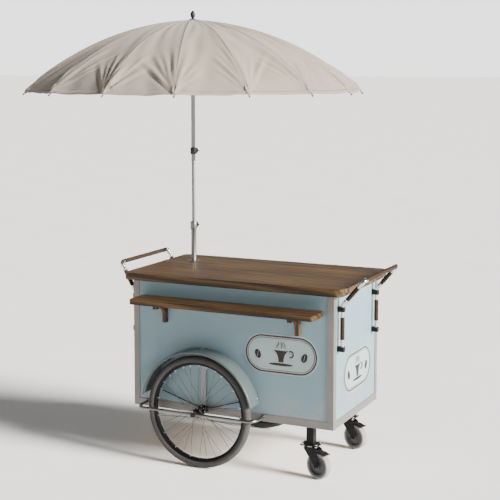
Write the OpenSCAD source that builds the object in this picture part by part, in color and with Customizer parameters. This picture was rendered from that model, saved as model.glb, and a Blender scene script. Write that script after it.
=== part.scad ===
// Push vending cart: a panelled cabinet on two spoked wheels and two braked swivel casters,
// with a wooden countertop, a customer shelf, handles at both ends and a fabric parasol.
// Frame: +Z up, ground at z = 0, +X toward the caster end, -Y toward the customer side.
// The origin is on the ground under the middle of the whole cart's outline.

/* [Cabinet] */
// Length of the cabinet, end panel to end panel
body_l = 1180; // [1100:10:1260]
// Depth of the cabinet, customer side to operator side
body_d = 670; // [640:10:720]
// Height of the cabinet between its bottom rails and the countertop
body_h = 700; // [660:10:740]
// Height of the cabinet's underside above the ground
body_z = 280; // [270:5:290]
// Distance from the origin back to the cabinet's left end
body_left = 230; // [200:5:260]
// Distance from the origin forward to the customer side
body_front = 520; // [500:5:540]
// Thickness of the painted panels
panel_t = 12; // [9:1:18]
// Width of the aluminium corner angles
trim_w = 36; // [30:1:45]
// Thickness of the aluminium corner angles
trim_t = 3; // [2:0.5:4]
// Height of the bottom rails
rail_h = 40; // [36:1:45]

/* [Countertop and shelf] */
// Overhang of the countertop at each end
top_over_x = 50; // [30:5:70]
// Overhang of the countertop at front and back
top_over_y = 30; // [20:5:50]
// Thickness of the countertop
top_t = 40; // [30:1:45]
// Corner radius of the countertop
top_r = 42; // [20:1:60]
// Length of the customer shelf
shelf_l = 1070; // [900:10:1100]
// Depth of the customer shelf
shelf_d = 153; // [120:1:180]
// Thickness of the customer shelf
shelf_t = 30; // [20:1:35]
// Height of the customer shelf's upper face
shelf_top = 900; // [860:5:920]
// Thickness of each shelf bracket
bracket_t = 25; // [18:1:30]

/* [Spoked wheels] */
// Outer radius of the tyre
wheel_r = 305; // [295:1:310]
// Width of the tyre
tyre_w = 44; // [36:1:50]
// Outer radius of the rim, where the tyre's bead sits
rim_r = 271; // [262:1:274]
// Inner radius of the rim
rim_in = 255; // [248:1:258]
// Width of the rim
rim_w = 30; // [24:1:34]
// Spokes in each wheel, a multiple of four
spoke_n = 32; // [24:4:36]
// Spoke radius
spoke_r = 1.1; // [1:0.1:1.5]
// Axle radius
axle_r = 6; // [5:0.5:8]
// Distance of the axle from the origin toward the caster end
wheel_x = 205; // [180:5:230]
// Gap between the cabinet's side and the tyre's inner face
wheel_gap = 40; // [34:1:46]

/* [Fenders and guards] */
// Outer radius of each fender
fender_r = 335; // [328:1:345]
// Width of each fender, from the panel outward
fender_w = 110; // [100:1:114]
// Thickness of the fender sheet
fender_t = 2.5; // [2:0.5:4]
// Angle above the horizontal at which a fender starts and ends
fender_end = 12; // [8:1:25]
// Radius of the guard tube that carries the axle's outer end
guard_r = 8; // [6:0.5:9]
// Distance of the guard tube's outer run from the cabinet
guard_out = 120; // [118:1:130]
// Distance from the wheel's centre to each leg of its guard
guard_half = 350; // [345:1:365]
// Bend radius of the guard tube
guard_bend = 50; // [40:1:60]

/* [Casters] */
// Caster wheel radius
caster_r = 70; // [60:1:75]
// Caster wheel width
caster_w = 36; // [30:1:38]
// Distance of the caster legs from the origin toward the caster end
caster_x = 804; // [760:2:830]
// Distance of each caster leg from the cabinet's side
caster_in = 60; // [45:5:90]
// Offset of the caster wheel behind its swivel axis
caster_trail = 50; // [40:1:55]
// Resting swivel angle of the casters
caster_turn = -17; // [-45:1:45]
// Width of the square caster legs
leg_w = 40; // [30:1:45]

/* [Handles] */
// Radius of the handle tube
handle_r = 9; // [8:0.5:10]
// Height of the handle rails
handle_z = 1060; // [1050:1:1100]
// Reach of the rail at the caster end, from the end panel
handle_reach = 139; // [120:1:160]
// Reach of the rail at the wheel end, from the end panel
short_reach = 112; // [106:1:120]
// Distance of the first upright from the customer side
handle_in = 61; // [50:1:90]
// Distance between the uprights
handle_span = 524; // [460:2:540]

/* [Parasol] */
// Distance of the mast from the origin toward the wheel end
mast_x = 130; // [100:5:160]
// Radius of the lower pole
mast_r = 10; // [8:0.5:12]
// Outer radius of the upper tube
tube_r = 12; // [11:0.5:14]
// Radius of the fabric, mast to edge
canopy_r = 967; // [900:1:1000]
// Height of the canopy's top above the ground
canopy_z = 2408; // [2300:1:2450]
// Drop from the canopy's top to its edge
canopy_drop = 403; // [380:1:440]
// Ribs in the canopy
rib_n = 16; // [8:1:16]
// Angle of the first rib
rib_phase = -0.2; // [-11:0.1:11]

/* [Hidden] */
$fn = 96;

// Gaps: between bodies that move past each other, and in a running fit
gap = 0.3;
fit = 0.05;

// Cabinet corners and levels
x0 = -body_left;
x1 = x0 + body_l;
y0 = -body_front;
y1 = y0 + body_d;
mid_y = (y0 + y1) / 2;
floor_z = body_z + rail_h;
deck_z = body_z + body_h;
top_z = deck_z + top_t;
rail_w = 30;

// Service door in the operator side
door_x0 = 560;
door_x1 = 860;
door_z0 = 360;
door_z1 = 940;
door_gap = 2.5;
hinge_x = door_x1 + 5;
hinge_y = y1 - trim_t + 5;
hinge_r = 4.5;
pin_r = 2.5;
hinge_h = 60;
hinge_zs = [door_z0 + 70, door_z1 - 70 - hinge_h];

// Spoked wheel planes, for the customer side
wheel_y = y0 - wheel_gap - tyre_w / 2;
hub_half = 38;
hub_r = 14;
flange_r = 25;
flange_y = hub_half - 14;
flange_t = 4;
spoke_lead = 70;
axle_out = guard_out + 24;
fender_lip = 12;

// Casters
caster_ys = [y0 + caster_in, y1 - caster_in];
plate_top = 178;
plate_t = 4;
race_z = 166;
crown_z = 160;
kingpin_r = 6;
crown_x = 36;
cheek_gap = 42;
cheek_t = 4;
bolt_r = 5;
pedal_pivot = [44, 148];
pedal_pin_r = 3;

// Handles
upright_off = 22;
upright_low = 684;
elbow_r = 10.5;
grip_r = 12;
// Elbow heights that carry each arm past the countertop's lower corner
elbow_z_long = 925;
elbow_z_short = 898;

// Parasol levels
holder_r = 15;
holder_top = 1245;
holder_flange_r = 42;
holder_flange_t = 5;
collar_z = 1638;
collar_h = 37;
collar_r = 17.5;
tube_low = 1600;
pole_top = 1950;
runner_z = 2105;
fabric_t = 2.5;
rib_r = 3;
top_hub_r = 26;
rib_tip_r = 5;
// Radius at which the ribs' ball tips stand, just outside the fabric's edge
tip_at = canopy_r + rib_tip_r + 0.5;
strut_at = 500;
// Circle whose arc is the canopy's profile, through its top, a quarter-drop point and its edge
arc_mid = [canopy_r / 2, canopy_drop / 4];
arc_cz = (canopy_r * canopy_r / 2 - canopy_r * canopy_r / 4 + canopy_drop * canopy_drop / 2
    - arc_mid.y * arc_mid.y) / (canopy_drop - 2 * arc_mid.y);
arc_cx = (arc_mid.x * arc_mid.x + arc_mid.y * arc_mid.y - 2 * arc_mid.y * arc_cz) / (2 * arc_mid.x);
arc_r = norm([arc_cx, arc_cz]);
function profile_z(r) = canopy_z - arc_cz + sqrt(arc_r * arc_r - (r - arc_cx) * (r - arc_cx));

// ---- Helpers ----

module slab(p, q) {
    translate(p)
        cube(q - p);
}

// A straight round rod between two points
module rod(p, q, r) {
    v = q - p;
    translate(p)
        rotate([0, acos(v.z / norm(v)), atan2(v.y, v.x)])
            cylinder(h = norm(v), r = r);
}

// A slab with its four upright edges rounded
module round_slab(p, q, r) {
    slab([p.x + r, p.y, p.z], [q.x - r, q.y, q.z]);
    slab([p.x, p.y + r, p.z], [q.x, q.y - r, q.z]);
    for (x = [p.x + r, q.x - r], y = [p.y + r, q.y - r])
        translate([x, y, p.z])
            cylinder(h = q.z - p.z, r = r);
}

// A disc or drum along Y, centred on the origin
module drum(r, w) {
    rotate([90, 0, 0])
        cylinder(h = w, r = r, center = true);
}

// Copies a customer-side shape to the operator side
module to_back() {
    translate([0, 2 * mid_y, 0])
        mirror([0, 1, 0])
            children();
}

// Places a shape made with x = 0 at an end panel's trim face and +x outward
module at_right_end() {
    translate([x1, 0, 0])
        children();
}

module at_left_end() {
    translate([x0, 0, 0])
        mirror([1, 0, 0])
            children();
}

module at_mast() {
    translate([-mast_x, 0, 0])
        children();
}

module at_caster(i) {
    translate([caster_x, caster_ys[i], 0])
        rotate([0, 0, caster_turn])
            children();
}

// ---- Cabinet ----

module base_frame() {
    color("Silver")
        difference() {
            union() {
                slab([x0, y0, body_z], [x1, y0 + rail_w, floor_z]);
                slab([x0, y1 - rail_w, body_z], [x1, y1, floor_z]);
                for (x = [x0, x1 - rail_w, wheel_x - 90])
                    slab([x, y0 + rail_w, body_z], [x + rail_w, y1 - rail_w, floor_z]);
                // Cross member over the caster legs
                slab([caster_x - leg_w / 2, y0 + rail_w, body_z],
                    [caster_x + leg_w / 2, y1 - rail_w, floor_z]);
            }
            translate([wheel_x, mid_y, wheel_r])
                drum(axle_r, body_d + 2);
        }
}

// One L-shaped angle, its outer corner at the origin, legs along +x and +y
module corner_post() {
    translate([0, 0, floor_z])
        difference() {
            cube([trim_w, trim_w, body_h - rail_h]);
            translate([trim_t, trim_t, -1])
                cube([trim_w, trim_w, body_h]);
        }
}

module corner_posts() {
    color("Silver")
        for (mx = [0, 1], my = [0, 1])
            translate([mx ? x1 : x0, my ? y1 : y0, 0])
                mirror([mx, 0, 0])
                    mirror([0, my, 0])
                        corner_post();
}

module front_panel() {
    color("LightBlue")
        slab([x0 + trim_t, y0 + trim_t, floor_z], [x1 - trim_t, y0 + trim_t + panel_t, deck_z]);
}

module back_panel() {
    color("LightBlue")
        difference() {
            slab([x0 + trim_t, y1 - trim_t - panel_t, floor_z], [x1 - trim_t, y1 - trim_t, deck_z]);
            slab([door_x0, y1 - trim_t - panel_t - 1, door_z0], [door_x1, y1, door_z1]);
        }
}

module end_panel() {
    translate([-trim_t - panel_t, y0 + trim_t + panel_t, floor_z])
        cube([panel_t, body_d - 2 * (trim_t + panel_t), body_h - rail_h]);
}

module left_panel() {
    color("LightBlue")
        at_left_end()
            end_panel();
}

module right_panel() {
    color("LightBlue")
        at_right_end()
            end_panel();
}

// A board that fills the cabinet's inside at a height, with a hole for the mast's holder
module inner_board(z, t, back) {
    inset = trim_t + panel_t;
    difference() {
        slab([x0 + inset, y0 + inset, z], [x1 - inset, y1 - inset - back, z + t]);
        translate([-mast_x, 0, z - 1])
            cylinder(h = t + 2, r = holder_r);
    }
}

module floor_panel() {
    color("Tan")
        inner_board(floor_z, panel_t, 0);
}

module inner_shelf() {
    color("Tan")
        inner_board(640, 15, 20);
}

module countertop() {
    color("Sienna")
        difference() {
            round_slab([x0 - top_over_x, y0 - top_over_y, deck_z],
                [x1 + top_over_x, y1 + top_over_y, top_z], top_r);
            translate([-mast_x, 0, deck_z - 1])
                cylinder(h = top_t + 2, r = holder_r);
            // The holder's flange is let in, so the counter stays flat
            translate([-mast_x, 0, top_z - holder_flange_t])
                cylinder(h = holder_flange_t + 1, r = holder_flange_r + gap);
        }
}

// ---- Customer shelf ----

shelf_x0 = x0 + (body_l - shelf_l) / 2;
shelf_y1 = y0 + trim_t;
bracket_xs = [shelf_x0 + 146, shelf_x0 + shelf_l - 144];

module front_shelf() {
    color("Sienna")
        round_slab([shelf_x0, shelf_y1 - shelf_d, shelf_top - shelf_t],
            [shelf_x0 + shelf_l, shelf_y1, shelf_top], 20);
}

// An L-shaped wooden bracket with a hollowed gusset between its legs
module shelf_bracket() {
    leg = 20;
    drop = 110;
    arm = 125;
    gusset = 55;
    under = shelf_top - shelf_t;
    slab([0, -leg, under - drop], [bracket_t, 0, under]);
    slab([0, -arm, under - leg], [bracket_t, -leg, under]);
    difference() {
        slab([0, -leg - gusset, under - leg - gusset], [bracket_t, -leg, under - leg]);
        translate([-1, -leg - gusset, under - leg - gusset])
            rotate([0, 90, 0])
                cylinder(h = bracket_t + 2, r = gusset);
    }
}

module shelf_brackets() {
    color("Sienna")
        for (x = bracket_xs)
            translate([x - bracket_t / 2, shelf_y1, 0])
                shelf_bracket();
}

// ---- Badges ----

badge_l = 420;
badge_h = 212;
badge_t = 1.5;

// A flat plate with half-round ends, standing in the XZ plane and facing -y
module badge() {
    translate([-badge_l / 2 + badge_h / 2, -badge_t, -badge_h / 2])
        cube([badge_l - badge_h, badge_t, badge_h]);
    for (s = [-1, 1])
        translate([s * (badge_l - badge_h) / 2, -badge_t / 2, 0])
            drum(badge_h / 2, badge_t);
}

module front_emblem() {
    color("Beige")
        translate([655, y0 + trim_t, 648])
            badge();
}

module end_emblem() {
    color("Beige")
        translate([x1 - trim_t, mid_y + 20, 526])
            rotate([0, 0, 90])
                badge();
}

// ---- Fenders, stays and guards ----

// Cross-section of the fender: a flat sheet with a lip turned in along both edges
module fender_section() {
    translate([fender_r - fender_t, 0])
        square([fender_t, fender_w]);
    translate([fender_r - fender_lip, 0])
        square([fender_lip, fender_t]);
    translate([fender_r - fender_lip, fender_w - fender_t])
        square([fender_lip, fender_t]);
}

module fender() {
    translate([wheel_x, y0 + trim_t, wheel_r])
        rotate([90, -fender_end, 0])
            rotate_extrude(angle = 180 - 2 * fender_end)
                fender_section();
}

module front_fender() {
    color("LightSteelBlue")
        fender();
}

module back_fender() {
    color("LightSteelBlue")
        to_back()
            fender();
}

// Thin rods from a boss on the bottom rail to the fender's ends and shoulders
module stays() {
    stay_y = y0 - 9;
    for (a = [fender_end + 5, 180 - fender_end - 5])
        rod([wheel_x + 24 * cos(a), stay_y, wheel_r + 24 * sin(a)],
            [wheel_x + (fender_r - fender_t - 1) * cos(a), stay_y,
            wheel_r + (fender_r - fender_t - 1) * sin(a)], 2.5);
    translate([wheel_x, y0 - 8, wheel_r])
        difference() {
            drum(25, 16);
            drum(axle_r, 18);
        }
}

module fender_stays() {
    color("Black") {
        stays();
        to_back()
            stays();
    }
}

// Upright bar on the panel above each hub
module support_bar() {
    difference() {
        slab([wheel_x - 14, y0 + trim_t - 12, floor_z], [wheel_x + 14, y0 + trim_t,
            wheel_r + fender_r - fender_lip - 1]);
        translate([wheel_x, y0 - 8, wheel_r])
            drum(25, 40);
    }
}

module support_bars() {
    color("DarkGray") {
        support_bar();
        to_back()
            support_bar();
    }
}

// U-shaped tube around the wheel, with a boss that holds the axle's outer end
module guard() {
    run_y = y0 - guard_out;
    bend_x = guard_half - guard_bend;
    translate([wheel_x, 0, wheel_r])
        difference() {
            union() {
                for (s = [-1, 1]) {
                    rod([s * guard_half, y0, 0], [s * guard_half, run_y + guard_bend, 0], guard_r);
                    translate([s * bend_x, run_y + guard_bend, 0])
                        rotate([0, 0, s > 0 ? -90 : 180])
                            rotate_extrude(angle = 90)
                                translate([guard_bend, 0])
                                    circle(r = guard_r);
                    translate([s * guard_half, y0 - 2, 0])
                        drum(15, 4);
                }
                rod([-bend_x, run_y, 0], [bend_x, run_y, 0], guard_r);
                translate([0, run_y, 0])
                    drum(13, 18);
            }
            translate([0, run_y, 0])
                drum(axle_r, 40);
        }
}

module front_guard() {
    color("Silver")
        guard();
}

module back_guard() {
    color("Silver")
        to_back()
            guard();
}

module axle() {
    color("Silver")
        translate([wheel_x, mid_y, wheel_r])
            drum(axle_r, body_d + 2 * axle_out);
}

// Domed nuts on the axle's ends, outside the guards
module axle_nut() {
    translate([wheel_x, y0 - guard_out - 9, wheel_r])
        rotate([90, 0, 0])
            difference() {
                union() {
                    cylinder(h = 2, r = 13);
                    cylinder(h = 12, r = 10.4, $fn = 6);
                    cylinder(h = 18, r = 8);
                }
                translate([0, 0, -1])
                    cylinder(h = 16, r = axle_r);
            }
}

module axle_nuts() {
    color("Silver") {
        axle_nut();
        to_back()
            axle_nut();
    }
}

// ---- Spoked wheels, made for the customer side ----

module at_wheel() {
    translate([wheel_x, wheel_y, wheel_r])
        children();
}

// Tyre: a rounded tread with straight sidewalls down to the bead
module tyre() {
    round_r = tyre_w / 2;
    at_wheel()
        rotate([90, 0, 0])
            rotate_extrude()
                difference() {
                    union() {
                        translate([wheel_r - round_r, 0])
                            circle(r = round_r);
                        translate([rim_r, -round_r + 4])
                            square([wheel_r - round_r - rim_r + 4, tyre_w - 8]);
                    }
                    translate([rim_r - 40, -tyre_w])
                        square([40, 2 * tyre_w]);
                }
}

// Rim: a shallow channel with a hollowed outer face
module rim() {
    at_wheel()
        rotate([90, 0, 0])
            rotate_extrude()
                difference() {
                    translate([rim_in, -rim_w / 2])
                        square([rim_r - rim_in, rim_w]);
                    translate([rim_r - 5, -rim_w / 2 + 4])
                        square([6, rim_w - 8]);
                }
}

// Spokes leave alternate faces of the hub's two flanges, so that they cross without touching
module spokes() {
    start_r = flange_r - 2;
    stand_off = flange_t / 2 + spoke_r;
    at_wheel()
        for (i = [0 : spoke_n - 1]) {
            a = i * 360 / spoke_n;
            side = i % 2 == 0 ? 1 : -1;
            lead = i % 4 < 2 ? 1 : -1;
            b = a + lead * spoke_lead;
            start_y = side * (flange_y + lead * (stand_off + (lead > 0 ? gap : 0)));
            rod([start_r * cos(b), start_y, start_r * sin(b)],
                [rim_in * cos(a), side * 4, rim_in * sin(a)], spoke_r);
        }
}

module hub() {
    at_wheel()
        difference() {
            union() {
                drum(hub_r, 2 * hub_half);
                for (s = [-1, 1]) {
                    translate([0, s * flange_y, 0])
                        drum(flange_r, flange_t);
                    translate([0, s * (hub_half - 4), 0])
                        drum(18, 8);
                }
            }
            drum(axle_r + fit, 2 * hub_half + 2);
        }
}

module tyre_front() { color("Gray") tyre(); }
module rim_front() { color("Black") rim(); }
module spokes_front() { color("Silver") spokes(); }
module hub_front() { color("Black") hub(); }
module tyre_back() { color("Gray") to_back() tyre(); }
module rim_back() { color("Black") to_back() rim(); }
module spokes_back() { color("Silver") to_back() spokes(); }
module hub_back() { color("Black") to_back() hub(); }

// ---- Casters, made with the swivel axis at the origin and the wheel toward +x ----

module caster_leg(i) {
    color("Black")
        translate([caster_x, caster_ys[i], 0])
            difference() {
                slab([-leg_w / 2, -leg_w / 2, plate_top], [leg_w / 2, leg_w / 2, body_z]);
                slab([-leg_w / 2 + 3, -leg_w / 2 + 3, plate_top - 1],
                    [leg_w / 2 - 3, leg_w / 2 - 3, body_z + 1]);
            }
}

module caster_leg_front() { caster_leg(0); }
module caster_leg_back() { caster_leg(1); }

// Top plate with its bolts and the kingpin that the fork turns on
module caster_plate(i) {
    color("Black")
        translate([caster_x, caster_ys[i], 0]) {
            difference() {
                round_slab([-50, -42, plate_top - plate_t], [50, 42, plate_top], 8);
                for (x = [-38, 38], y = [-30, 30])
                    translate([x, y, plate_top - plate_t - 1])
                        cylinder(h = plate_t + 2, r = 4.5);
            }
            translate([0, 0, crown_z - 6])
                cylinder(h = plate_top - plate_t - crown_z + 6, r = kingpin_r);
            translate([0, 0, crown_z - 6])
                cylinder(h = 6 - gap, r = 11);
        }
}

module caster_plate_front() { caster_plate(0); }
module caster_plate_back() { caster_plate(1); }

// One side cheek of the fork: a tapered strap from the crown back to the axle, with an ear for
// the pedal's pin
module fork_cheek() {
    rotate([90, 0, 0])
        linear_extrude(height = cheek_t)
            polygon([[-30, crown_z + 3], [crown_x, crown_z + 3], [52, 156], [53, 140],
                [caster_trail + 13, 74], [caster_trail + 9, 62], [caster_trail - 9, 62],
                [caster_trail - 15, 74], [-30, crown_z - 10]]);
}

module caster_fork(i) {
    color("Black")
        at_caster(i) {
            difference() {
                union() {
                    translate([0, 0, race_z - 1])
                        cylinder(h = plate_top - plate_t - gap - race_z + 1, r = 26);
                    slab([-30, -cheek_gap / 2, crown_z], [crown_x, cheek_gap / 2, race_z]);
                    for (s = [-1, 1])
                        translate([0, s > 0 ? cheek_gap / 2 + cheek_t : -cheek_gap / 2, 0])
                            fork_cheek();
                }
                translate([0, 0, crown_z - 1])
                    cylinder(h = 30, r = kingpin_r + fit);
                translate([caster_trail, 0, caster_r])
                    drum(bolt_r, 80);
                translate([pedal_pivot.x, 0, pedal_pivot.y])
                    drum(pedal_pin_r + fit, 80);
            }
            translate([caster_trail, 0, caster_r])
                drum(bolt_r, cheek_gap + 2 * cheek_t);
            for (s = [-1, 1])
                translate([caster_trail, s * (cheek_gap / 2 + cheek_t + 3), caster_r])
                    rotate([90, 0, 0])
                        cylinder(h = 6, r = 9, center = true, $fn = 6);
        }
}

module fork_front() { caster_fork(0); }
module fork_back() { caster_fork(1); }

module at_caster_wheel(i) {
    at_caster(i)
        translate([caster_trail, 0, caster_r])
            rotate([90, 0, 0])
                children();
}

// Core: hub, dished web and rim, turning on the fork's bolt
module caster_core(i) {
    color("DimGray")
        at_caster_wheel(i)
            rotate_extrude()
                difference() {
                    union() {
                        translate([bolt_r + fit, -cheek_gap / 2 + gap])
                            square([11, cheek_gap - 2 * gap]);
                        translate([bolt_r + 2, -6])
                            square([50, 12]);
                        translate([46, -caster_w / 2 + 1])
                            square([12, caster_w - 2]);
                    }
                    translate([0, -50])
                        square([bolt_r + fit, 100]);
                }
}

module caster_core_front() { caster_core(0); }
module caster_core_back() { caster_core(1); }

module caster_tread(i) {
    color("Gainsboro")
        at_caster_wheel(i)
            rotate_extrude()
                union() {
                    translate([58, -caster_w / 2])
                        square([caster_r - 58 - 4, caster_w]);
                    translate([caster_r - 4.1, -caster_w / 2 + 4])
                        square([4.1, caster_w - 8]);
                    for (s = [-1, 1])
                        translate([caster_r - 4, s * (caster_w / 2 - 4)])
                            circle(r = 4);
                }
}

module caster_tread_front() { caster_tread(0); }
module caster_tread_back() { caster_tread(1); }

// Brake pedal: a bent plate over the wheel that tips about a cross pin in the fork's cheeks
module caster_pedal(i) {
    half = cheek_gap / 2 - 1;
    color("Black")
        at_caster(i)
            rotate([90, 0, 0]) {
                translate([0, 0, -half])
                    linear_extrude(height = 2 * half)
                        polygon([[45, 144], [82, 140], [104, 133], [112, 139], [110, 143],
                            [104, 140], [84, 147], [46, 152]]);
                translate([pedal_pivot.x, pedal_pivot.y, 0])
                    cylinder(h = 2 * half, r = 5, center = true);
                translate([pedal_pivot.x, pedal_pivot.y, 0])
                    cylinder(h = cheek_gap + 2 * cheek_t + 2, r = pedal_pin_r, center = true);
            }
}

module pedal_front() { caster_pedal(0); }
module pedal_back() { caster_pedal(1); }

// ---- Handles, made with x = 0 at the end panel's trim face and +x outward ----

handle_ys = [y0 + handle_in, y0 + handle_in + handle_span];

function rail_point(reach, i) = [reach, handle_ys[i], handle_z];
function elbow_point(ez, i) = [upright_off, handle_ys[i], ez];

module handle_tube(reach, ez) {
    for (i = [0, 1]) {
        rod([upright_off, handle_ys[i], upright_low], elbow_point(ez, i), handle_r);
        rod(elbow_point(ez, i), rail_point(reach, i), handle_r);
        for (p = [elbow_point(ez, i), rail_point(reach, i)])
            translate(p)
                sphere(r = elbow_r);
    }
    rod(rail_point(reach, 0), rail_point(reach, 1), handle_r);
}

// A sleeve that covers part of a tube run, given as shares of the run's length
module sleeve(p, q, from, to) {
    a = p + from * (q - p);
    b = p + to * (q - p);
    difference() {
        rod(a, b, grip_r);
        rod(p, q, handle_r);
    }
}

module handle_grips(reach, ez) {
    sleeve(rail_point(reach, 0), rail_point(reach, 1), 0.05, 0.95);
    for (i = [0, 1]) {
        sleeve([upright_off, handle_ys[i], upright_low], elbow_point(ez, i), 0.26, 0.74);
        sleeve(elbow_point(ez, i), rail_point(reach, i), 0.12, 0.72);
    }
}

// Clamp blocks that hold an upright to the end panel, near its foot and under its elbow
module handle_blocks(ez) {
    for (y = handle_ys, z = [upright_low, ez - 33])
        difference() {
            round_slab([-trim_t, y - 13, z], [upright_off + 13, y + 13, z + 26], 5);
            translate([upright_off, y, z - 1])
                cylinder(h = 40, r = handle_r);
        }
}

module left_handle() { color("Silver") at_left_end() handle_tube(short_reach, elbow_z_short); }
module right_handle() { color("Silver") at_right_end() handle_tube(handle_reach, elbow_z_long); }
module left_grips() { color("Black") at_left_end() handle_grips(short_reach, elbow_z_short); }
module right_grips() { color("Black") at_right_end() handle_grips(handle_reach, elbow_z_long); }

module handle_clamps() {
    color("Black") {
        at_left_end()
            handle_blocks(elbow_z_short);
        at_right_end()
            handle_blocks(elbow_z_long);
    }
}

// ---- Service door ----

door_y1 = y1 - trim_t;

module door() {
    color("LightBlue")
        slab([door_x0 + door_gap, door_y1 - panel_t, door_z0 + door_gap],
            [door_x1 - door_gap, door_y1, door_z1 - door_gap]);
}

// A D-shaped pull beside the door's free edge
module door_pull() {
    px = door_x0 + 40;
    zs = [590, 710];
    color("Silver") {
        for (z = zs) {
            rod([px, door_y1, z], [px, door_y1 + 28, z], 5);
            translate([px, door_y1 + 28, z])
                sphere(r = 5);
        }
        rod([px, door_y1 + 28, zs[0]], [px, door_y1 + 28, zs[1]], 5);
    }
}

// Door side of each hinge: a leaf and the middle knuckle
module door_leaves() {
    color("Silver")
        for (z = hinge_zs)
            difference() {
                union() {
                    slab([door_x1 - 38, door_y1, z], [door_x1 - door_gap, door_y1 + 2, z + hinge_h]);
                    slab([door_x1 - door_gap, door_y1 + 0.6, z + 20 + gap],
                        [hinge_x, door_y1 + 2.6, z + 40 - gap]);
                    translate([hinge_x, hinge_y, z + 20 + gap])
                        cylinder(h = 20 - 2 * gap, r = hinge_r);
                }
                translate([hinge_x, hinge_y, z])
                    cylinder(h = hinge_h, r = pin_r + fit);
            }
}

// Cabinet side of each hinge: a leaf, the outer knuckles and the pin
module door_hinges() {
    color("Silver")
        for (z = hinge_zs) {
            slab([hinge_x + 5, door_y1, z], [hinge_x + 32, door_y1 + 2, z + hinge_h]);
            for (k = [0, 40]) {
                translate([hinge_x, hinge_y, z + k])
                    cylinder(h = 20, r = hinge_r);
                slab([hinge_x, door_y1, z + k], [hinge_x + 6, door_y1 + 2, z + k + 20]);
            }
            translate([hinge_x, hinge_y, z])
                cylinder(h = hinge_h, r = pin_r);
        }
}

// ---- Parasol ----

// Tube through the countertop that holds the mast, with a flange and a floor cup
module mast_holder() {
    color("Gray")
        at_mast()
            difference() {
                union() {
                    translate([0, 0, floor_z])
                        cylinder(h = holder_top - floor_z, r = holder_r);
                    translate([0, 0, top_z - holder_flange_t])
                        cylinder(h = holder_flange_t, r = holder_flange_r);
                    translate([0, 0, holder_top - 45])
                        cylinder(h = 45, r = 19);
                }
                translate([0, 0, floor_z + 8])
                    cylinder(h = holder_top, r = mast_r + fit);
                translate([0, 0, holder_top - 22])
                    rotate([-90, 0, 0])
                        cylinder(h = 40, r = 4 + fit);
            }
}

// A lobed clamp knob on a screw that runs in from +y to the surface at radius from
module clamp_knob(from, seat) {
    rotate([-90, 0, 0]) {
        translate([0, 0, from])
            cylinder(h = seat + 8 - from, r = 4);
        translate([0, 0, seat + 4])
            cylinder(h = 5, r = 8);
        translate([0, 0, seat + 8]) {
            cylinder(h = 14, r = 12);
            for (a = [0 : 72 : 288])
                rotate([0, 0, a])
                    translate([11, 0, 0])
                        cylinder(h = 14, r = 5);
        }
    }
}

module mast_knob() {
    color("Black")
        at_mast()
            translate([0, 0, holder_top - 22])
                clamp_knob(mast_r + gap, 19);
}

module mast() {
    color("Silver")
        at_mast()
            translate([0, 0, floor_z + 8 + gap])
                cylinder(h = pole_top - floor_z - 8 - gap, r = mast_r);
}

module upper_tube() {
    color("Silver")
        at_mast()
            difference() {
                union() {
                    translate([0, 0, tube_low])
                        cylinder(h = canopy_z - 6 - tube_low, r = tube_r);
                    // Top hub and runner that the ribs and struts meet
                    translate([0, 0, canopy_z - 26])
                        cylinder(h = 16, r = top_hub_r);
                    translate([0, 0, runner_z - 30])
                        cylinder(h = 30, r = 17);
                    translate([0, 0, runner_z - 12])
                        cylinder(h = 12, r = top_hub_r);
                }
                translate([0, 0, tube_low - 1])
                    cylinder(h = canopy_z - 60 - tube_low, r = mast_r + fit);
                translate([0, 0, collar_z + collar_h / 2])
                    rotate([-90, 0, 0])
                        cylinder(h = 40, r = 4 + fit);
            }
}

module height_collar() {
    color("DimGray")
        at_mast()
            difference() {
                translate([0, 0, collar_z])
                    cylinder(h = collar_h, r = collar_r);
                translate([0, 0, collar_z - 1])
                    cylinder(h = collar_h + 2, r = tube_r);
                translate([0, 0, collar_z + collar_h / 2])
                    rotate([-90, 0, 0])
                        cylinder(h = 40, r = 4 + fit);
            }
}

module height_knob() {
    color("Black")
        at_mast()
            translate([0, 0, collar_z + collar_h / 2])
                clamp_knob(mast_r + gap, collar_r);
}

// Canopy fabric: a thin closed shell, flat across each panel between two ribs
rings = 10;
steps = 4;
around = rib_n * steps;
hole_r = 13;

// Share of the rib's radius that the straight line between two ribs keeps
function chord(j) = cos(180 / rib_n) / cos(180 / rib_n * (2 * (j % steps) / steps - 1));
function ring_r(i) = hole_r + (canopy_r - hole_r) * i / rings;
function fabric_point(i, j, down) = let (
        a = rib_phase + 360 * j / around,
        r = ring_r(i)
    ) [r * chord(j) * cos(a), r * chord(j) * sin(a), profile_z(r) - down];
function quad(a, b, c, d) = [[a, b, c], [a, c, d]];

module canopy() {
    n = around * (rings + 1);
    points = [for (down = [0, fabric_t], i = [0 : rings], j = [0 : around - 1]) fabric_point(i, j, down)];
    faces = [for (j = [0 : around - 1]) let (k = (j + 1) % around) each concat(
        [for (i = [0 : rings - 1]) each concat(
            quad(i * around + j, (i + 1) * around + j, (i + 1) * around + k, i * around + k),
            quad(n + i * around + k, n + (i + 1) * around + k, n + (i + 1) * around + j, n + i * around + j))],
        quad(j, k, n + k, n + j),
        quad(rings * around + k, rings * around + j, n + rings * around + j, n + rings * around + k))];
    color("Linen")
        at_mast()
            polyhedron(points = points, faces = [for (f = faces) [f[2], f[1], f[0]]]);
}

// Circle that a rib's centre line follows, under the fabric
rib_arc = arc_r - fabric_t - 1.6 - rib_r;
function rib_angle(r) = acos((r - arc_cx) / rib_arc);

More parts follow.
